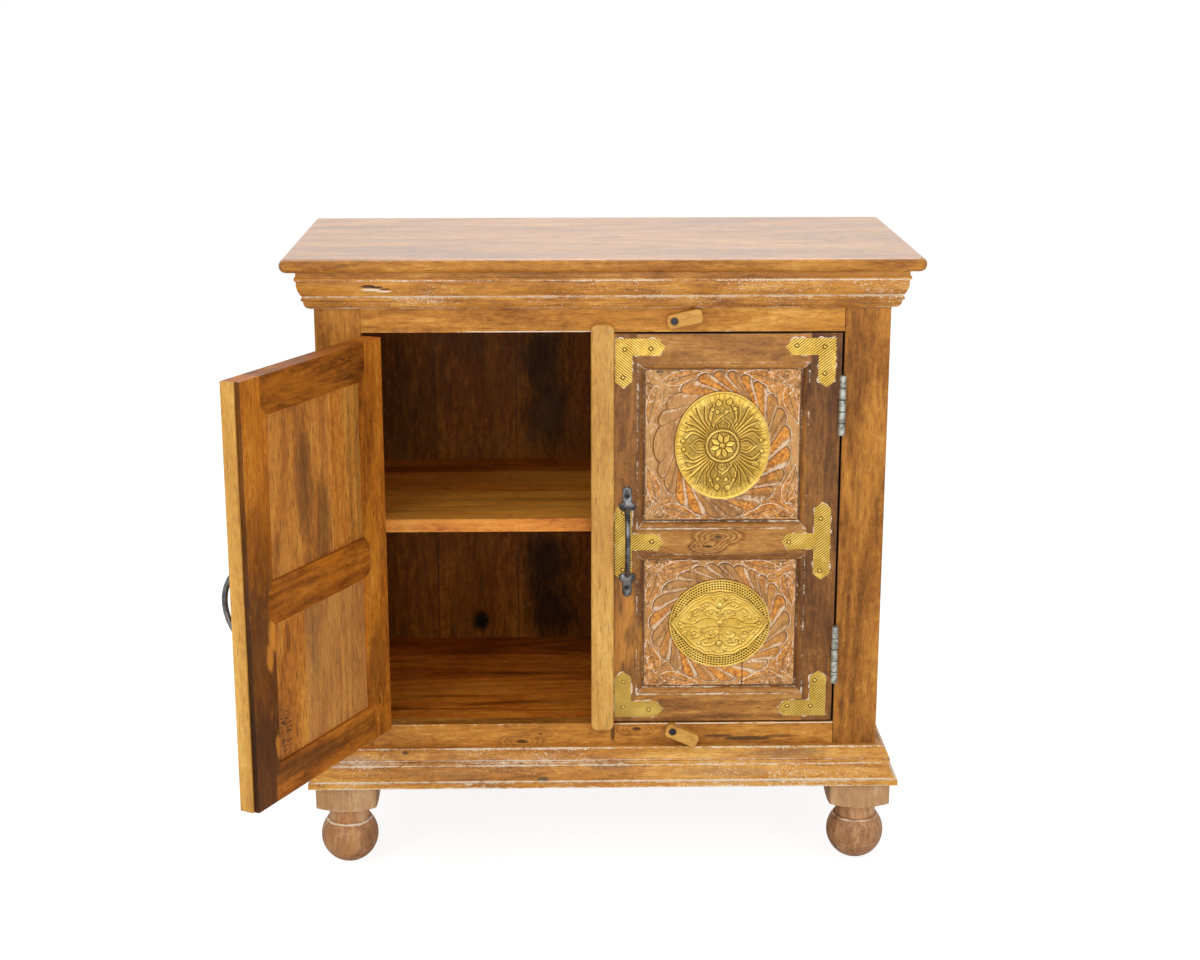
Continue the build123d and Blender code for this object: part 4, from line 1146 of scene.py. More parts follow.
def pressVine(relief):
    # A pointed field of curling vines, with rows of punched dots above and below.
    halfX, halfZ = carving["lower"]["medallion"]

    def fieldEdge(side, inset=0.0):
        reach = 69.0 - inset * 1.4
        rise = (46.0 if side > 0 else 47.0) - inset
        share = np.linspace(-1, 1, 49)
        wave = 0.9 * np.cos(share * 21)
        return np.stack([share * reach, side * (rise * (1 - np.abs(share) ** 2.4) + wave)], -1)

    for side in (1, -1):
        relief.stroke(fieldEdge(side), 2.0, raised=1.0, warm=0.7)
        relief.stroke(fieldEdge(side, -1.9), 1.4, hollow=0.75, cut=0.3)
        relief.stroke(fieldEdge(side, 4.0), 1.5, raised=0.8, warm=0.5)
        relief.stroke(fieldEdge(side, 2.2), 1.1, hollow=0.5)
        outside = fieldEdge(side)
        for row in range(4):
            shrink = 1 - (3.4 + row * 3.7) / 70
            pitch = 4.0 / (70 * shrink)
            for number in range(int(math.pi / pitch)):
                angle = (number + 0.5 * (row % 2)) * pitch
                dot = np.array([halfX * shrink * math.cos(angle), side * halfZ * shrink * math.sin(angle)])
                edgeUp = np.interp(dot[0], outside[:, 0], np.abs(outside[:, 1]), left=0, right=0)
                if abs(dot[1]) > edgeUp + 3.0:
                    relief.disc(dot, 1.4, cut=1.0, dark=0.95)
    vines = [
        [(3, 6), (14, 9), (26, 8), (38, 1), (52, 2)],
        [(3, -3), (15, -4), (28, -6), (40, -3), (53, -4)],
        [(2, 24), (10, 31), (20, 34), (28, 29), (22, 24)],
        [(3, 16), (9, 22), (19, 21), (22, 15), (15, 12)],
        [(2, -14), (9, -20), (19, -20), (23, -14), (16, -10)],
        [(2, -24), (10, -32), (22, -33), (28, -26), (21, -22)],
        [(26, 20), (34, 24), (41, 18), (37, 12), (32, 14)],
        [(27, -16), (35, -21), (42, -15), (38, -10), (33, -12)],
        [(50, 2), (56, 5), (60, 4)],
        [(51, -3), (57, -6), (61, -4)],
    ]
    for flip in (1, -1):
        for points in vines:
            line = smoothLine(*[(a * flip, b) for a, b in points])
            relief.stroke(line, 1.6, raised=0.95, taper=0.25, warm=0.6)
            relief.stroke(line + np.array([0.8, -1.2]), 1.1, hollow=0.6)
    # Small curls fill the field between the vines.
    random = np.random.default_rng(29)
    for number in range(46):
        middle = random.uniform((-58, -40), (58, 40))
        if abs(middle[1]) < 40 * (1 - (abs(middle[0]) / 64) ** 2.4):
            curl = spiral(
                middle, random.uniform(2.4, 4.4), 1.1, random.uniform(0, 360), random.choice((-1, 1)),
            )
            relief.stroke(curl, 1.2, raised=0.6, warm=0.5)
            relief.stroke(curl + np.array([0.6, -0.9]), 0.9, hollow=0.6)
    relief.stroke(
        smoothLine((1, 37), (2, 22), (-1, 8), (1, -6), (-1, -20), (0, -38)), 2.2, raised=1.0, warm=0.6,
    )
    for at in ((0, 2), (0, 28), (-1, -30)):
        relief.disc(at, 4.2, raised=1.35, warm=0.8)
        relief.ring(at, 4.8, 1.1, hollow=0.6)
    beads = [
        (33, 5), (19, 28), (13, 17), (13, -15), (20, -27), (36, 17), (37, -15), (44, 9), (45, -9), (57, 0),
        (30, -30), (9, 38), (8, -40),
    ]
    for x, z in beads:
        for flip in (1, -1):
            relief.disc((x * flip, z), 2.3, raised=1.2, warm=0.7)
            relief.ring((x * flip, z), 2.9, 1.0, hollow=0.45)


def medallionPiece(side, field, material):
    look = carving[field]
    halfX, halfZ = look["medallion"]
    across, up, faces = pressedOval(halfX, halfZ, pressing["rings"], pressing["spokes"])
    relief = Relief(across, up)
    (pressFlower if field == "upper" else pressVine)(relief)
    layers = relief.layers
    out = np.hypot(across / halfX, up / halfZ)
    rim = (1 - out) * 70
    edge = unit(rim / 3.5)
    base = pressing["thickness"] + pressing["dome"] * np.sqrt(unit(1 - out**2))
    raised = np.where(rim < 4.5, 0, layers["raised"])
    height = base + pressing["relief"] * (raised - layers["cut"] - 0.35) * edge
    height += 0.4 * hill(rim, 1.0, 0.8)
    random = np.random.default_rng(9)
    height += random.normal(0, 0.035, height.size) * edge
    layers["hollow"] = np.maximum(layers["hollow"], 0.35 * hill(rim, 2.8, 0.9))
    tarnish = 0.8 if field == "upper" else 0.35
    low = unit(0.55 - layers["raised"]) * tarnish * unit((rim - 3) / 10)
    layers["hollow"] = unit(np.maximum(layers["hollow"], low))
    layers["warm"][rim < 1.6] = 0.4
    middle = sum(look["panel"]) / 2
    top = onDoor(side, across + panelMiddle, pressing["seat"] - height, up + middle)
    # A turned-down rim.
    spokes = pressing["spokes"]
    last = across.size - spokes
    skirt = onDoor(
        side, across[last:] * 1.004 + panelMiddle, pressing["seat"] + 0.2, up[last:] * 1.004 + middle,
    )
    points = np.concatenate([top, skirt])
    rims = [
        (last + k, across.size + k, across.size + (k + 1) % spokes, last + (k + 1) % spokes)
        for k in range(spokes)
    ]
    marks = {
        key: np.append(layers[key], np.full(spokes, 0.6 if key == "hollow" else 0))
        for key in ("hollow", "dark", "warm")
    }
    short = doors[side]
    name = f"{short}_{field}_pressed_medallion"
    stands = (f"{short}_{field}_medallion",)
    addPiece(name, side, points, faces + rims, material, marks, (), stands)


for side, short in doors.items():
    pressed = makeBrass(short + "PressedBrass", side)
    for field in ("upper", "lower"):
        medallionPiece(side, field, pressed)
print("medallions pressed")


# Domed brass nails in the brackets: where they are on the right door, in millimetres.
bracketNails = {
    "radius": 3.6,
    "depth": -1.2,
    "meeting": [
        (29.7, 775.8), (66, 777), (27.4, 736), (28.5, 540), (69, 497), (28, 454.6), (29.4, 284.1),
        (28.8, 245.3), (66, 241.1),
    ],
    "hinge": [
        (269.5, 780.5), (308.8, 778.6), (309.5, 740.9), (309.7, 529.9), (265, 495), (310.3, 451.9),
        (307.7, 285), (268.5, 245.7), (302.9, 245.5),
    ],
    "leftShift": 2.5,
}


def studs(places, side, depth, radius, height, rings=6, spokes=18):
    # Many small round heads as one mesh. Height is given by distance from the middle, 0 to 1.
    across, up, faces = pressedOval(radius, radius, rings, spokes)
    out = np.hypot(across, up) / radius
    points, everyFace = [], []
    for number, (x, z) in enumerate(places):
        points.append(onDoor(side, across + x, depth - height(out, across, up), up + z))
        everyFace += [tuple(i + number * across.size for i in face) for face in faces]
    return np.concatenate(points), everyFace


def nailDome(out, across, up):
    return 1.9 * np.sqrt(unit(1 - (out / 0.72) ** 2)) + 0.35 * (1 - out**2)


for side, short in doors.items():
    shift = bracketNails["leftShift"] if side == "left_door" else 0
    places = [(x + shift, z) for x, z in bracketNails["meeting"]] + bracketNails["hinge"]
    points, faces = studs(places, side, bracketNails["depth"], bracketNails["radius"], nailDome)
    out = np.tile(np.hypot(*pressedOval(1, 1, 6, 18)[:2]), len(places))
    # A painted highlight on top of each dome and a dark ring round its foot.
    marks = {
        "hollow": hill(out, 0.82, 0.16), "warm": (out < 0.5) * 0.9, "dark": 0.7 * (np.abs(out - 0.8) < 0.08),
    }
    material = makeBrass(short + "NailBrass", side)
    addPiece(short + "_bracket_nails", side, points, faces, material, marks)
print("nails driven")


# Pale filler that squeezed out round the brackets when they were bedded.
bedding = {
    "colour": (0.78, 0.68, 0.54),
    "dirty": (0.36, 0.22, 0.12),
    "width": 1.7,
    "seed": 23,
    "stopsAt": {"left_door": 18.0, "right_door": 15.1},  # clear of the meeting strip
}

# The brackets' outlines on the right door.
brackets = {
    "meetingEdge": {"left_door": 19.0, "right_door": 16.5},
    "hingeEdge": 324.5,
    "top": 791,
    "bottom": 230,
    "teeAt": 496,
    "reach": 70.0,
    "arm": 24.0,
    "point": 9.0,
    "tee": 115.0,
}


def bracketOutlines(side):
    reach, arm, point, tee = (brackets[key] for key in ("reach", "arm", "point", "tee"))
    outlines = []
    for x, across in ((brackets["meetingEdge"][side], 1), (brackets["hingeEdge"], -1)):
        for z, up in ((brackets["top"], -1), (brackets["bottom"], 1)):
            corner = [
                (0, 0), (reach - point, 0), (reach, arm / 2), (reach - point, arm),
                (arm, arm), (arm, reach - point), (arm / 2, reach), (0, reach - point),
            ]
            outlines.append([(x + across * a, z + up * b) for a, b in corner])
        half = tee / 2
        shape = [
            (0, half - point), (arm / 2, half), (arm, half - point), (arm, arm / 2),
            (reach - point, arm / 2), (reach, 0), (reach - point, -arm / 2),
            (arm, -arm / 2), (arm, point - half), (arm / 2, -half), (0, point - half),
        ]
        outlines.append([(x + across * a, brackets["teeAt"] + b) for a, b in shape])
    return outlines


def makeFiller(name, side):
    bench, place = benchFor(name, side)
    grit = bench.noise(place, 300, 2.0, 4, 0.7)
    tone = bench.blend(bench.between(grit, 0.42, 0.7), bedding["colour"], bedding["dirty"])
    return bench.finish(Base_Color=tone, Roughness=grit * 0.2 + 0.6, Normal=bench.bump(grit, 0.5, 0.0005))


def layBedding(side):
    short = doors[side]
    random = np.random.default_rng(bedding["seed"])
    points, faces = [], []
    count = 0
    for outline in bracketOutlines(side):
        ring = np.array(outline, dtype=float)
        turn = np.roll(ring, -1, 0)
        area = (ring[:, 0] * turn[:, 1] - turn[:, 0] * ring[:, 1]).sum()
        ring = ring if area > 0 else ring[::-1]
        samples, outs = [], []
        for start, end in zip(ring, np.roll(ring, -1, 0)):
            steps = max(2, int(np.hypot(*(end - start)) / 1.6))
            away = np.array([(end - start)[1], -(end - start)[0]]) / np.hypot(*(end - start))
            for share in np.linspace(0.02, 0.98, steps):
                samples.append(start + (end - start) * share)
                outs.append(away)
        samples, outs = np.array(samples), np.array(outs)
        swell = random.normal(0, 1, len(samples))
        for _ in range(3):
            swell = (swell + np.roll(swell, 1) + np.roll(swell, -1)) / 1.9
        width = np.clip(bedding["width"] * (0.2 + 0.4 * swell), 0.10, 2.4)[:, None]
        high = np.clip(width[:, 0] * 0.45, 0.12, 0.8)
        foot = np.full(len(samples), 0.15)
        for offset, depth in ((outs * -0.6, -high), (outs * width * 0.45, -high * 0.8), (outs * width, foot)):
            spots = samples + offset
            spots[:, 0] = np.maximum(spots[:, 0], bedding["stopsAt"][side])
            points.append(onDoor(side, spots[:, 0], depth, spots[:, 1]))
        faces += [tuple(face) for face in gridFaces(3, len(samples), count, loop=True)[:, ::-1]]
        count += 3 * len(samples)
    filler = makeFiller(short + "Filler", side)
    addPiece(short + "_bracket_bedding", side, np.concatenate(points), faces, filler)


for side in doors:
    layBedding(side)
print("brackets bedded")


# Forged handles: a hammered bar and two three-lobed plates with dark screws.
handle = {
    "x": 34.0,
    "z": 496.5,
    "span": 48.5,
    "rise": 33.0,
    "endRadius": 22.0,
    "archRadius": 59.4,
    "bar": 4.0,
    "lobe": 6.5,
    "lobeSpread": 5.5,
    "tongue": 22.5,
    "tongueRadius": 6.7,
    "screwAt": 15.5,
    "plateFrom": 4.0,
    "plateDome": 5.6,
    "screwSeat": 2.6,
    "screwRadius": 3.7,
}


def makeIron(name, side):
    bench, place = benchFor(name, side)
    blow = bench.noise(place, (90, 90, 45), 2.0, 2, 0.5)
    grit = bench.noise(place, 520, 4.0, 3, 0.6)
    tone = bench.blend(bench.between(blow, 0.36, 0.62), metals["ironLow"], metals["ironHigh"])
    tone = bench.blend(bench.between(grit, 0.55, 0.75) * 0.5, tone, metals["ironPits"])
    return bench.finish(
        Base_Color=tone,
        Metallic=0.8,
        Roughness=blow * 0.3 + 0.26,
        Normal=bench.bump(blow * 2.0 + grit * 0.4, 0.5, 0.0009),
    )


def handleBow():
    # Middle line of the bar, from its top to its bottom: height over the plates' middle,
    # distance out, and the direction across the line.
    end, arch = handle["endRadius"], handle["archRadius"]
    turn = math.atan2(arch - handle["rise"], handle["span"] - end)

    def arc(height, out, radius, angles):
        ways = [toward(angle) for angle in angles]
        return [(height + radius * c, out + radius * s, -s, c) for c, s in ways]

    half = [(handle["span"], -2.0, 0.0, 1.0)]
    half += arc(handle["span"] - end, 0, end, np.linspace(0, turn, 12))
    half += arc(0, handle["rise"] - arch, arch, np.linspace(turn, math.pi - turn, 30)[1:-1])
    half = np.array(half)
    low = half[:13][::-1] * np.array([-1, 1, 1, -1])
    return np.concatenate([half, low])


def makeHandle(side, material):
    random = np.random.default_rng(3)
    bow = handleBow()
    spokes = 14
    angle = np.linspace(0, 2 * math.pi, spokes, endpoint=False)
    across, depth, up = [], [], []
    for number, (high, out, alongZ, alongOut) in enumerate(bow):
        ends = max(0.0, 1 - out / 12)
        radius = handle["bar"] * (1 + 0.28 * ends) - abs(random.normal(0, 0.2, spokes))
        sideways = radius * np.cos(angle)
        outward = radius * np.sin(angle)
        across.append(handle["x"] + sideways)
        up.append(handle["z"] + high - outward * alongOut)
        depth.append(-(out + outward * alongZ))
    points = [onDoor(side, np.array(across).ravel(), np.array(depth).ravel(), np.array(up).ravel())]
    faces = [tuple(face) for face in gridFaces(len(bow), spokes, 0, loop=True)[:, ::-1]]
    start = len(bow) * spokes
    # Plates: star shaped outlines domed towards the middle.
    rays, rings = 72, 9
    for flip in (1, -1):
        root = handle["span"] + handle["plateFrom"]
        centre = root + 7.0
        outline = []
        for ray in np.linspace(0, 2 * math.pi, rays, endpoint=False):
            reach = 30.0
            while reach > 1:
                a, b = reach * math.cos(ray), centre + reach * math.sin(ray) - root
                lobes = min(
                    math.hypot(a - handle["lobeSpread"], b), math.hypot(a + handle["lobeSpread"], b),
                ) < handle["lobe"]
                tongue = abs(a) < handle["tongueRadius"] and 0 <= b <= handle["tongue"]
                if lobes or tongue or math.hypot(a, b - handle["tongue"]) < handle["tongueRadius"]:
                    break
                reach -= 0.15
            outline.append(reach)
        outline = np.array(outline)
        ray = np.linspace(0, 2 * math.pi, rays, endpoint=False)
        share = np.array([0.04, 0.2, 0.4, 0.6, 0.76, 0.88, 0.96, 1.0, 1.0])
        bulge = np.array([handle["plateDome"], 5.5, 5.1, 4.5, 3.9, 3.3, 2.7, 1.9, 0.0])
        a = (share[:, None] * outline * np.cos(ray)).ravel()
        b = centre + (share[:, None] * outline * np.sin(ray)).ravel()
        screw = np.hypot(a, b - root - handle["screwAt"])
        out = np.repeat(bulge, rays) + random.normal(0, 0.16, a.size) * (np.repeat(bulge, rays) > 0)
        flattened = unit((b - root) / 12)
        out = np.minimum(out, handle["plateDome"] - 2.3 * flattened)
        out = np.where(screw < 4.6, np.minimum(out, handle["screwSeat"]), out)
        points.append(onDoor(side, handle["x"] + a, -out, handle["z"] + flip * b))
        ringFaces = gridFaces(rings, rays, start, loop=True)
        ringFaces = ringFaces if flip < 0 else ringFaces[:, ::-1]
        faces += [tuple(face) for face in ringFaces]
        cap = tuple(range(start, start + rays))
        faces.append(cap if flip > 0 else cap[::-1])
        start += a.size
    short = doors[side]
    stands = (short + "_handle",)
    addPiece(
        short + "_forged_handle", side, np.concatenate(points), faces, material,
        stands=stands,
    )


def screwHead(out, across, up):
    slot = np.abs(across * 0.8 + up * 0.6) < 0.55
    return 3.3 + 0.5 * np.sqrt(unit(1 - out**2)) - 1.1 * slot * (out < 0.85) - 2.0 * (out > 0.97)


for side, short in doors.items():
    iron = makeIron(short + "Iron", side)
    makeHandle(side, iron)
    reach = handle["span"] + handle["plateFrom"] + handle["screwAt"]
    places = [(handle["x"], handle["z"] + reach), (handle["x"], handle["z"] - reach)]
    points, faces = studs(places, side, 0.0, handle["screwRadius"], screwHead, 10, 30)
    black = makeMetal(short + "ScrewBlack", side, (0.016, 0.016, 0.017), (0.006, 0.006, 0.006), 0.4, 0.6)
    addPiece(short + "_handle_screws", side, points, faces, black)
print("handles forged")


# Lost-head nails in the meeting strip, and tongues that close the back's seams.
smallNails = {
    "places": [(9.2, 803.4), (7.8, 746.8), (8.5, 619.0), (7.5, 372.0), (8.6, 232.0)],
    "depth": -11.0,
    "radius": 1.5,
    "colour": (0.30, 0.27, 0.22),
    "dark": (0.08, 0.07, 0.06),
}
seamTongues = {
    "from": -389.9,
    "pitch": 130.07,
    "shift": -0.3,
    "half": 0.25,
    "depth": (185.5, 194.5),
    "height": (132, 888),
}


def driveSmallNails():
    def head(out, across, up):
        return 0.25 * (1 - out**2) - 0.1

    material = makeMetal("lostHeadSteel", "right_door", smallNails["colour"], smallNails["dark"], 0.45, 0.7)
    depth, radius = smallNails["depth"], smallNails["radius"]
    points, faces = studs(smallNails["places"], "right_door", depth, radius, head, 4, 12)
    addPiece("strip_nails", "right_door", points, faces, material)


def fillBackSeams():
    points, faces = [], []
    front, back = seamTongues["depth"]
    for number in range(1, 6):
        x = seamTongues["from"] + number * seamTongues["pitch"] + seamTongues["shift"]
        left, right = x - seamTongues["half"], x + seamTongues["half"]
        corners = [(left, front), (right, front), (right, back), (left, back)]
        start = len(points)
        for z in seamTongues["height"]:
            points += [(a * mm, b * mm, z * mm) for a, b in corners]
        for k in range(4):
            n = (k + 1) % 4
            faces.append((start + k, start + n, start + 4 + n, start + 4 + k))
        faces.append((start + 3, start + 2, start + 1, start))
        faces.append((start + 4, start + 5, start + 6, start + 7))
    material = makeWood("seamTongueWood", tones="inner", seed=77.0)
    addPiece(
        "back_seam_tongues", "carcass", points, faces, material, flat=set(range(len(faces))),
    )


driveSmallNails()
fillBackSeams()


def dress(node, material):
    mesh = nodes[node].data
    mesh.materials.clear()
    mesh.materials.append(material)


def dressWood(node, side="carcass", **look):
    dress(node, makeWood(node + "Wood", side, **look))


# Dark stains and a knot on the boards behind the shelf: x, z, width, height, strength and colour.
soot = (0.006, 0.0025, 0.001)
backStains = [
    (-93, 688, 34, 52, 0.75, soot),
    (-84, 600, 40, 60, 0.72, soot),
    (-82, 350, 44, 60, 0.85, soot),
    (-78, 265, 48, 55, 0.85, soot),
    (-193, 249, 13, 16, 1.0, soot),
    (-300, 600, 60, 120, 0.45, soot),
]
backBoards = [("x", 129.5, -0.05, 0.0), ("x", 259.6, -0.06, 0.0)]
umber = (0.075, 0.026, 0.008)
flame = (0.62, 0.235, 0.028)

# Knocks and greyed places on the mouldings, and the parts of a foot by height.
gouge = (0.035, 0.014, 0.008)
wornPlaces = {
    "cornice_front": [
        (-322, 868.5, 9, 2.2, 0.9, gouge),
        (-311, 867, 9, 1.8, 0.9, gouge), (-300, 864.5, 8, 1.3, 0.85, gouge),
        (-318, 863.6, 13, 2.0, 0.85, limeColour), (-301, 861.2, 11, 1.4, 0.85, limeColour),
    ],
    "base_moulding_front": [
        (-372, 168, 46, 10, 0.5, (0.40, 0.24, 0.14)), (14, 162, 40, 8, 0.4, (0.20, 0.11, 0.05)),
        (270, 178, 70, 7, 0.5, (0.17, 0.085, 0.035)),
        (-88, 143, 7, 2.6, 0.9, (0.10, 0.07, 0.02)), (247, 140, 14, 2.0, 0.8, (0.10, 0.06, 0.02)),
        (-121, 167, 2.2, 2.2, 0.9, gouge), (-289, 181, 5, 2.2, 0.8, umber),
        (180, 150, 80, 6, 0.35, (0.30, 0.16, 0.07)),
    ],
}
footParts = [("z", 67.5, 0.14, 0.0), ("z", 90.0, 0.10, 0.40)]

# Single members of the doors that differ from the rest. Their edges entries paint shade on the faces next to
# the gaps round them.
doorLooks = {
    "right_hinge_stile": {
        "depth": 0.38, "streaks": 0.8, "golden": 0.25, "haze": 0.3, "edges": [("x", 333.5, 332.7, 0.93)],
    },
    "right_meeting_stile": {"depth": 0.25, "golden": 0.7},
    "right_door_top_rail": {
        "depth": 0.15, "streaks": 0.3, "haze": 0.25, "edges": [("z", 797.4, 796.6, 0.93)],
    },
    "right_door_middle_rail": {
        "depth": 0.14, "streaks": 0.3, "figure": 0.4, "knots": [(164, 503, 3.4), (150, 489, 2.6)],
    },
    "right_door_bottom_rail": {"depth": 0.135, "streaks": 0.5, "figure": 0.3, "golden": 0.5},
    "left_meeting_stile": {
        "depth": 0.16, "streaks": 0.4, "golden": 0.7, "goldColour": (0.50, 0.165, 0.013), "shine": 0.1,
        "soft": 0.3, "ragged": 2.2,
        "stains": [
            (-30, 400, 62, 120, 0.72, umber),
            (-30, 275, 60, 90, 0.82, umber), (-24, 560, 40, 90, 0.35, umber),
            (-52, 455, 9, 26, 0.95, flame), (-44, 425, 8, 18, 0.8, flame), (-54, 300, 5, 18, 0.7, flame),
        ],
        "edges": [("x", 5.2, 6.0, 0.72)],
    },
    "left_door_middle_rail": {
        "depth": 0.20, "streakColour": (0.15, 0.03, 0.003), "golden": 0.7,
        "goldColour": (0.56, 0.17, 0.012), "shine": 0.1,
    },
    "left_door_top_rail": {
        "depth": 0.35, "streaks": 0.7, "goldColour": (0.52, 0.17, 0.012), "golden": 0.5, "shine": 0.1,
        "knots": [(-220, 783, 1.2), (-238, 784, 1.2), (-254, 785, 1.2)],
    },
    "left_door_bottom_rail": {"depth": 0.20, "goldColour": (0.56, 0.20, 0.02), "shine": 0.1},
    "left_hinge_stile": {
        "depth": 0.12, "golden": 0.6, "goldColour": (0.64, 0.25, 0.018), "shine": 0.1,
        "knots": [(-303, 554, 2.0), (-305, 276, 2.6)],
        "stains": [(-300, 330, 26, 60, 0.4, umber)],
    },
}


def dressWoodwork():
    seed, seedStep = 1.0, 1.37
    plan = [
        ("top_board", "x", "frame", {
            "coat": 0.9, "coatRough": 0.30, "gloss": 0.42, "streaks": 0.15, "golden": 0.1, "haze": 0.04,
            "depth": 0.12, "coatAbove": 905, "boards": [("z", 905.5, -0.02, 0.08)],
        }),
        ("left_frame_stile", "z", "frame", {"depth": 0.12, "shine": 0.15}),
        # Painted shade on the stile's edge beside the gap to the right door.
        ("right_frame_stile", "z", "frame", {
            "golden": 0.4, "depth": 0.20, "shine": 0.15, "edges": [("x", 336.4, 337.2, 0.93)],
        }),
        ("top_rail", "x", "frame", {
            "streaks": 0.3, "golden": 0.5, "depth": 0.05, "shine": 0.12, "lime": topRailLines,
        }),
        ("bottom_rail", "x", "frame", {
            "streaks": 0.5, "depth": 0.14, "shine": 0.15, "lime": bottomRailLines,
            "knots": [(-119, 192, 3.2), (49, 211, 3.0), (-92, 204, 1.6)],
            "stains": [
                (170, 199, 22, 2.6, 0.8, (0.07, 0.035, 0.012)),
                (212, 195, 34, 3.4, 0.8, (0.05, 0.026, 0.010)),
                (262, 198, 24, 2.4, 0.6, (0.07, 0.035, 0.012)), (14, 205, 3.0, 14, 0.8, umber),
            ],
        }),
        ("left_side_panel", "z", "frame", {}),
        ("right_side_panel", "z", "frame", {}),
        ("back_boards", "z", "inner", {
            "shine": 0.05, "coat": 0.0, "depth": 0.13, "golden": 0.2, "goldColour": (0.30, 0.115, 0.012),
            "streaks": 0.35, "figure": 0.12, "rings": 120.0,
            "boards": backBoards, "seams": (0, 130.1, 260.2), "stains": backStains, "stainedTo": 190,
            "soft": 0.55, "ragged": 1.3,
        }),
        ("back_top_rail", "x", "inner", {}),
        ("back_bottom_rail", "x", "inner", {}),
        # Behind its front edge the shelf darkens board by board towards the back, partly the boards' own
        # tones, partly painted shade under the top.
        ("shelf_boards", "x", "shelf", {
            "depth": 0.02, "dull": 0.18, "shine": 0.1, "streaks": 0.3,
            "boards": [("y", -166.4, 0.32, -0.18), ("y", -15, -0.24, 0.0), ("y", 103, -0.32, 0.0)],
        }),
        ("floor_boards", "x", "shelf", {
            "depth": 0.10, "shine": 0.1, "streaks": 0.9, "streakColour": (0.030, 0.010, 0.003),
            "boards": [("y", -19, -0.06, 0.0), ("y", 99, -0.20, 0.0)],
        }),
        ("top_cleats", "y", "inner", {}),
        ("floor_cleat", "x", "inner", {}),
        ("foot_corner_blocks", "z", "inner", {}),
        ("meeting_strip", "z", "pale", {
            "streaks": 0.08, "golden": 0.3, "goldColour": (0.66, 0.33, 0.07), "depth": 0.20, "dull": 0.06,
        }),
        ("upper_turn_button", "x", "pale", {"streaks": 0.1}),
        ("lower_turn_button", "x", "pale", {"streaks": 0.1}),
    ]
    for node, grain, tones, extra in plan:
        seed += seedStep
        dressWood(node, grain=grain, tones=tones, seed=seed, **extra)
    for part, mask in (("cornice", corniceLines), ("base_moulding", baseLines)):
        for run, grain in (("front", "x"), ("left", "y"), ("right", "y")):
            seed += seedStep
            node = f"{part}_{run}"
            look = {"flecks": 0.06, "golden": 0.6, "depth": 0.0, "streaks": 0.35}
            dressWood(node, grain=grain, seed=seed, lime=mask, stains=wornPlaces.get(node, ()), **look)
    for node in sorted(nodes):
        if node.startswith(("foot_front", "foot_back")):
            seed += seedStep
            dressWood(node, tones="foot", seed=seed, depth=0.17, boards=footParts, turned=80, lime=footLines)
    for door, short in doors.items():
        for part, grain in (
            ("hinge_stile", "z"), ("meeting_stile", "z"), ("door_top_rail", "x"),
            ("door_middle_rail", "x"), ("door_bottom_rail", "x"),
        ):
            seed += seedStep
            node = f"{short}_{part}"
            look = {
                "grain": grain, "tones": "door" if short == "right" else "back", "seed": seed,
                "lime": panelEdges, "quirkShade": panelQuirkShade,
            }
            look.update(doorLooks.get(node, {"depth": 0.22}))
            dressWood(node, door, **look)
    dress("left_edge_strip", makeWood("edgeStripWood", "left_door", tones="pale", seed=seed + 2))
    print("woodwork dressed")


def dressMetalwork():
    for door, short in doors.items():
        dress(f"{short}_brass_brackets", makeBrass(short + "BracketBrass", door, hatch=True))
        dress(f"{short}_door_hinge_leaves", makeSteel(short + "Steel", door))
    steel = makeSteel("frameSteel", "carcass")
    for part in (
        "left_frame_hinge_leaves", "right_frame_hinge_leaves", "left_hinge_pins", "right_hinge_pins",
    ):
        dress(part, steel)
    dress("turn_screws", makeMetal("screwBlack", "carcass", (0.02, 0.02, 0.02), (0.01, 0.01, 0.01), 0.4, 0.5))
    print("metalwork dressed")


dressWoodwork()
dressMetalwork()


studio = {
    "worldLight": 0.54,
    "floorBounce": 0.86,
    "floorTone": 0.30,
    "floorLift": 0.86,
    "lamps": [
        # name, place, aimed at, size, power
        ("keyLamp", (-1.9, -2.6, 2.3), (0, -0.1, 0.5), 1.4, 33.0),
        ("fillLamp", (2.2, -2.8, 1.6), (0.1, -0.1, 0.45), 1.8, 15.0),
        ("frontLamp", (0.1, -3.3, 0.95), (0, 0, 0.45), 1.6, 26.0),
        ("topLamp", (0.2, 0.9, 2.6), (0, 0, 0.9), 1.4, 27.0),
    ],
}


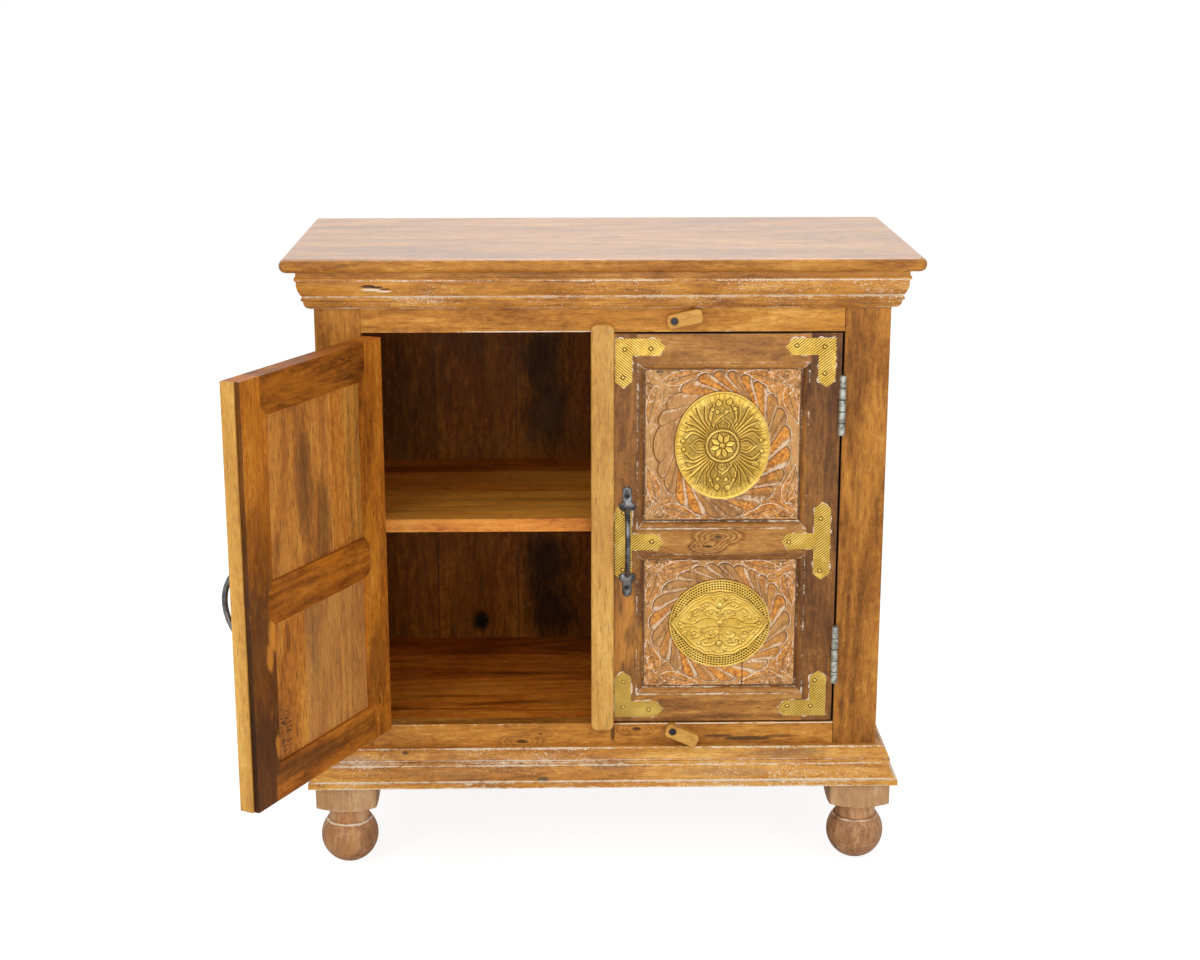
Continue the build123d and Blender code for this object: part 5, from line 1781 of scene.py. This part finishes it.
def makeStudio():
    scene = bpy.context.scene
    scene.view_settings.view_transform = "Standard"
    reach = 30.0
    corners = [(-reach, -reach, 0), (reach, -reach, 0), (reach, reach, 0), (-reach, reach, 0)]
    floorMesh = bpy.data.meshes.new("studioFloor")
    floorMesh.from_pydata(corners, [], [(0, 1, 2, 3)])
    floor = bpy.data.objects.new("studioFloor", floorMesh)
    scene.collection.objects.link(floor)
    # White to the eye, and plain pale paint to the light that bounces off it.
    paint = Bench(bpy.data.materials.new("studioFloorPaint"))

    def grey(level):
        return (level, level, level, 1)

    bounce = paint.node("ShaderNodeBsdfDiffuse", None, {"Color": grey(studio["floorBounce"])})
    matte = paint.node("ShaderNodeBsdfDiffuse", None, {"Color": grey(studio["floorTone"])})
    glow = paint.node("ShaderNodeEmission", None, {"Color": grey(1), "Strength": studio["floorLift"]})
    white = paint.node("ShaderNodeAddShader", None, {0: matte, 1: glow})
    seen = paint.node("ShaderNodeLightPath", output="Is Camera Ray")
    both = paint.node("ShaderNodeMixShader", None, {0: seen, 1: bounce, 2: white})
    paint.node("ShaderNodeOutputMaterial", None, {0: both})
    floorMesh.materials.append(paint.owner)
    floor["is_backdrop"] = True

    scene.world = bpy.data.worlds.new("studioWorld")
    sky = Bench(scene.world)
    kinds = ("Is Camera Ray", "Is Glossy Ray", "Is Transmission Ray")
    rays = [sky.node("ShaderNodeLightPath", output=kind) for kind in kinds]
    plain = rays[0].atLeast(rays[1]).atLeast(rays[2])
    strength = plain * (1 - studio["worldLight"]) + studio["worldLight"]
    light = sky.node("ShaderNodeBackground", None, {"Color": grey(1), "Strength": strength})
    sky.node("ShaderNodeOutputWorld", None, {0: light})

    for name, place, aim, size, power in studio["lamps"]:
        data = bpy.data.lights.new(name, "AREA")
        data.size = size
        data.energy = power
        lamp = bpy.data.objects.new(name, data)
        lamp.location = place
        x, y, z = [a - b for a, b in zip(aim, place)]
        lamp.rotation_euler = (math.atan2(math.hypot(x, y), -z), 0, math.atan2(-x, y))
        scene.collection.objects.link(lamp)
    print("studio ready")


makeStudio()


def writeSizes():
    boxes = {"frame": frameBox, "visual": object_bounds()}
    plain = {key: [[float(x) for x in corner] for corner in box] for key, box in boxes.items()}


writeSizes()
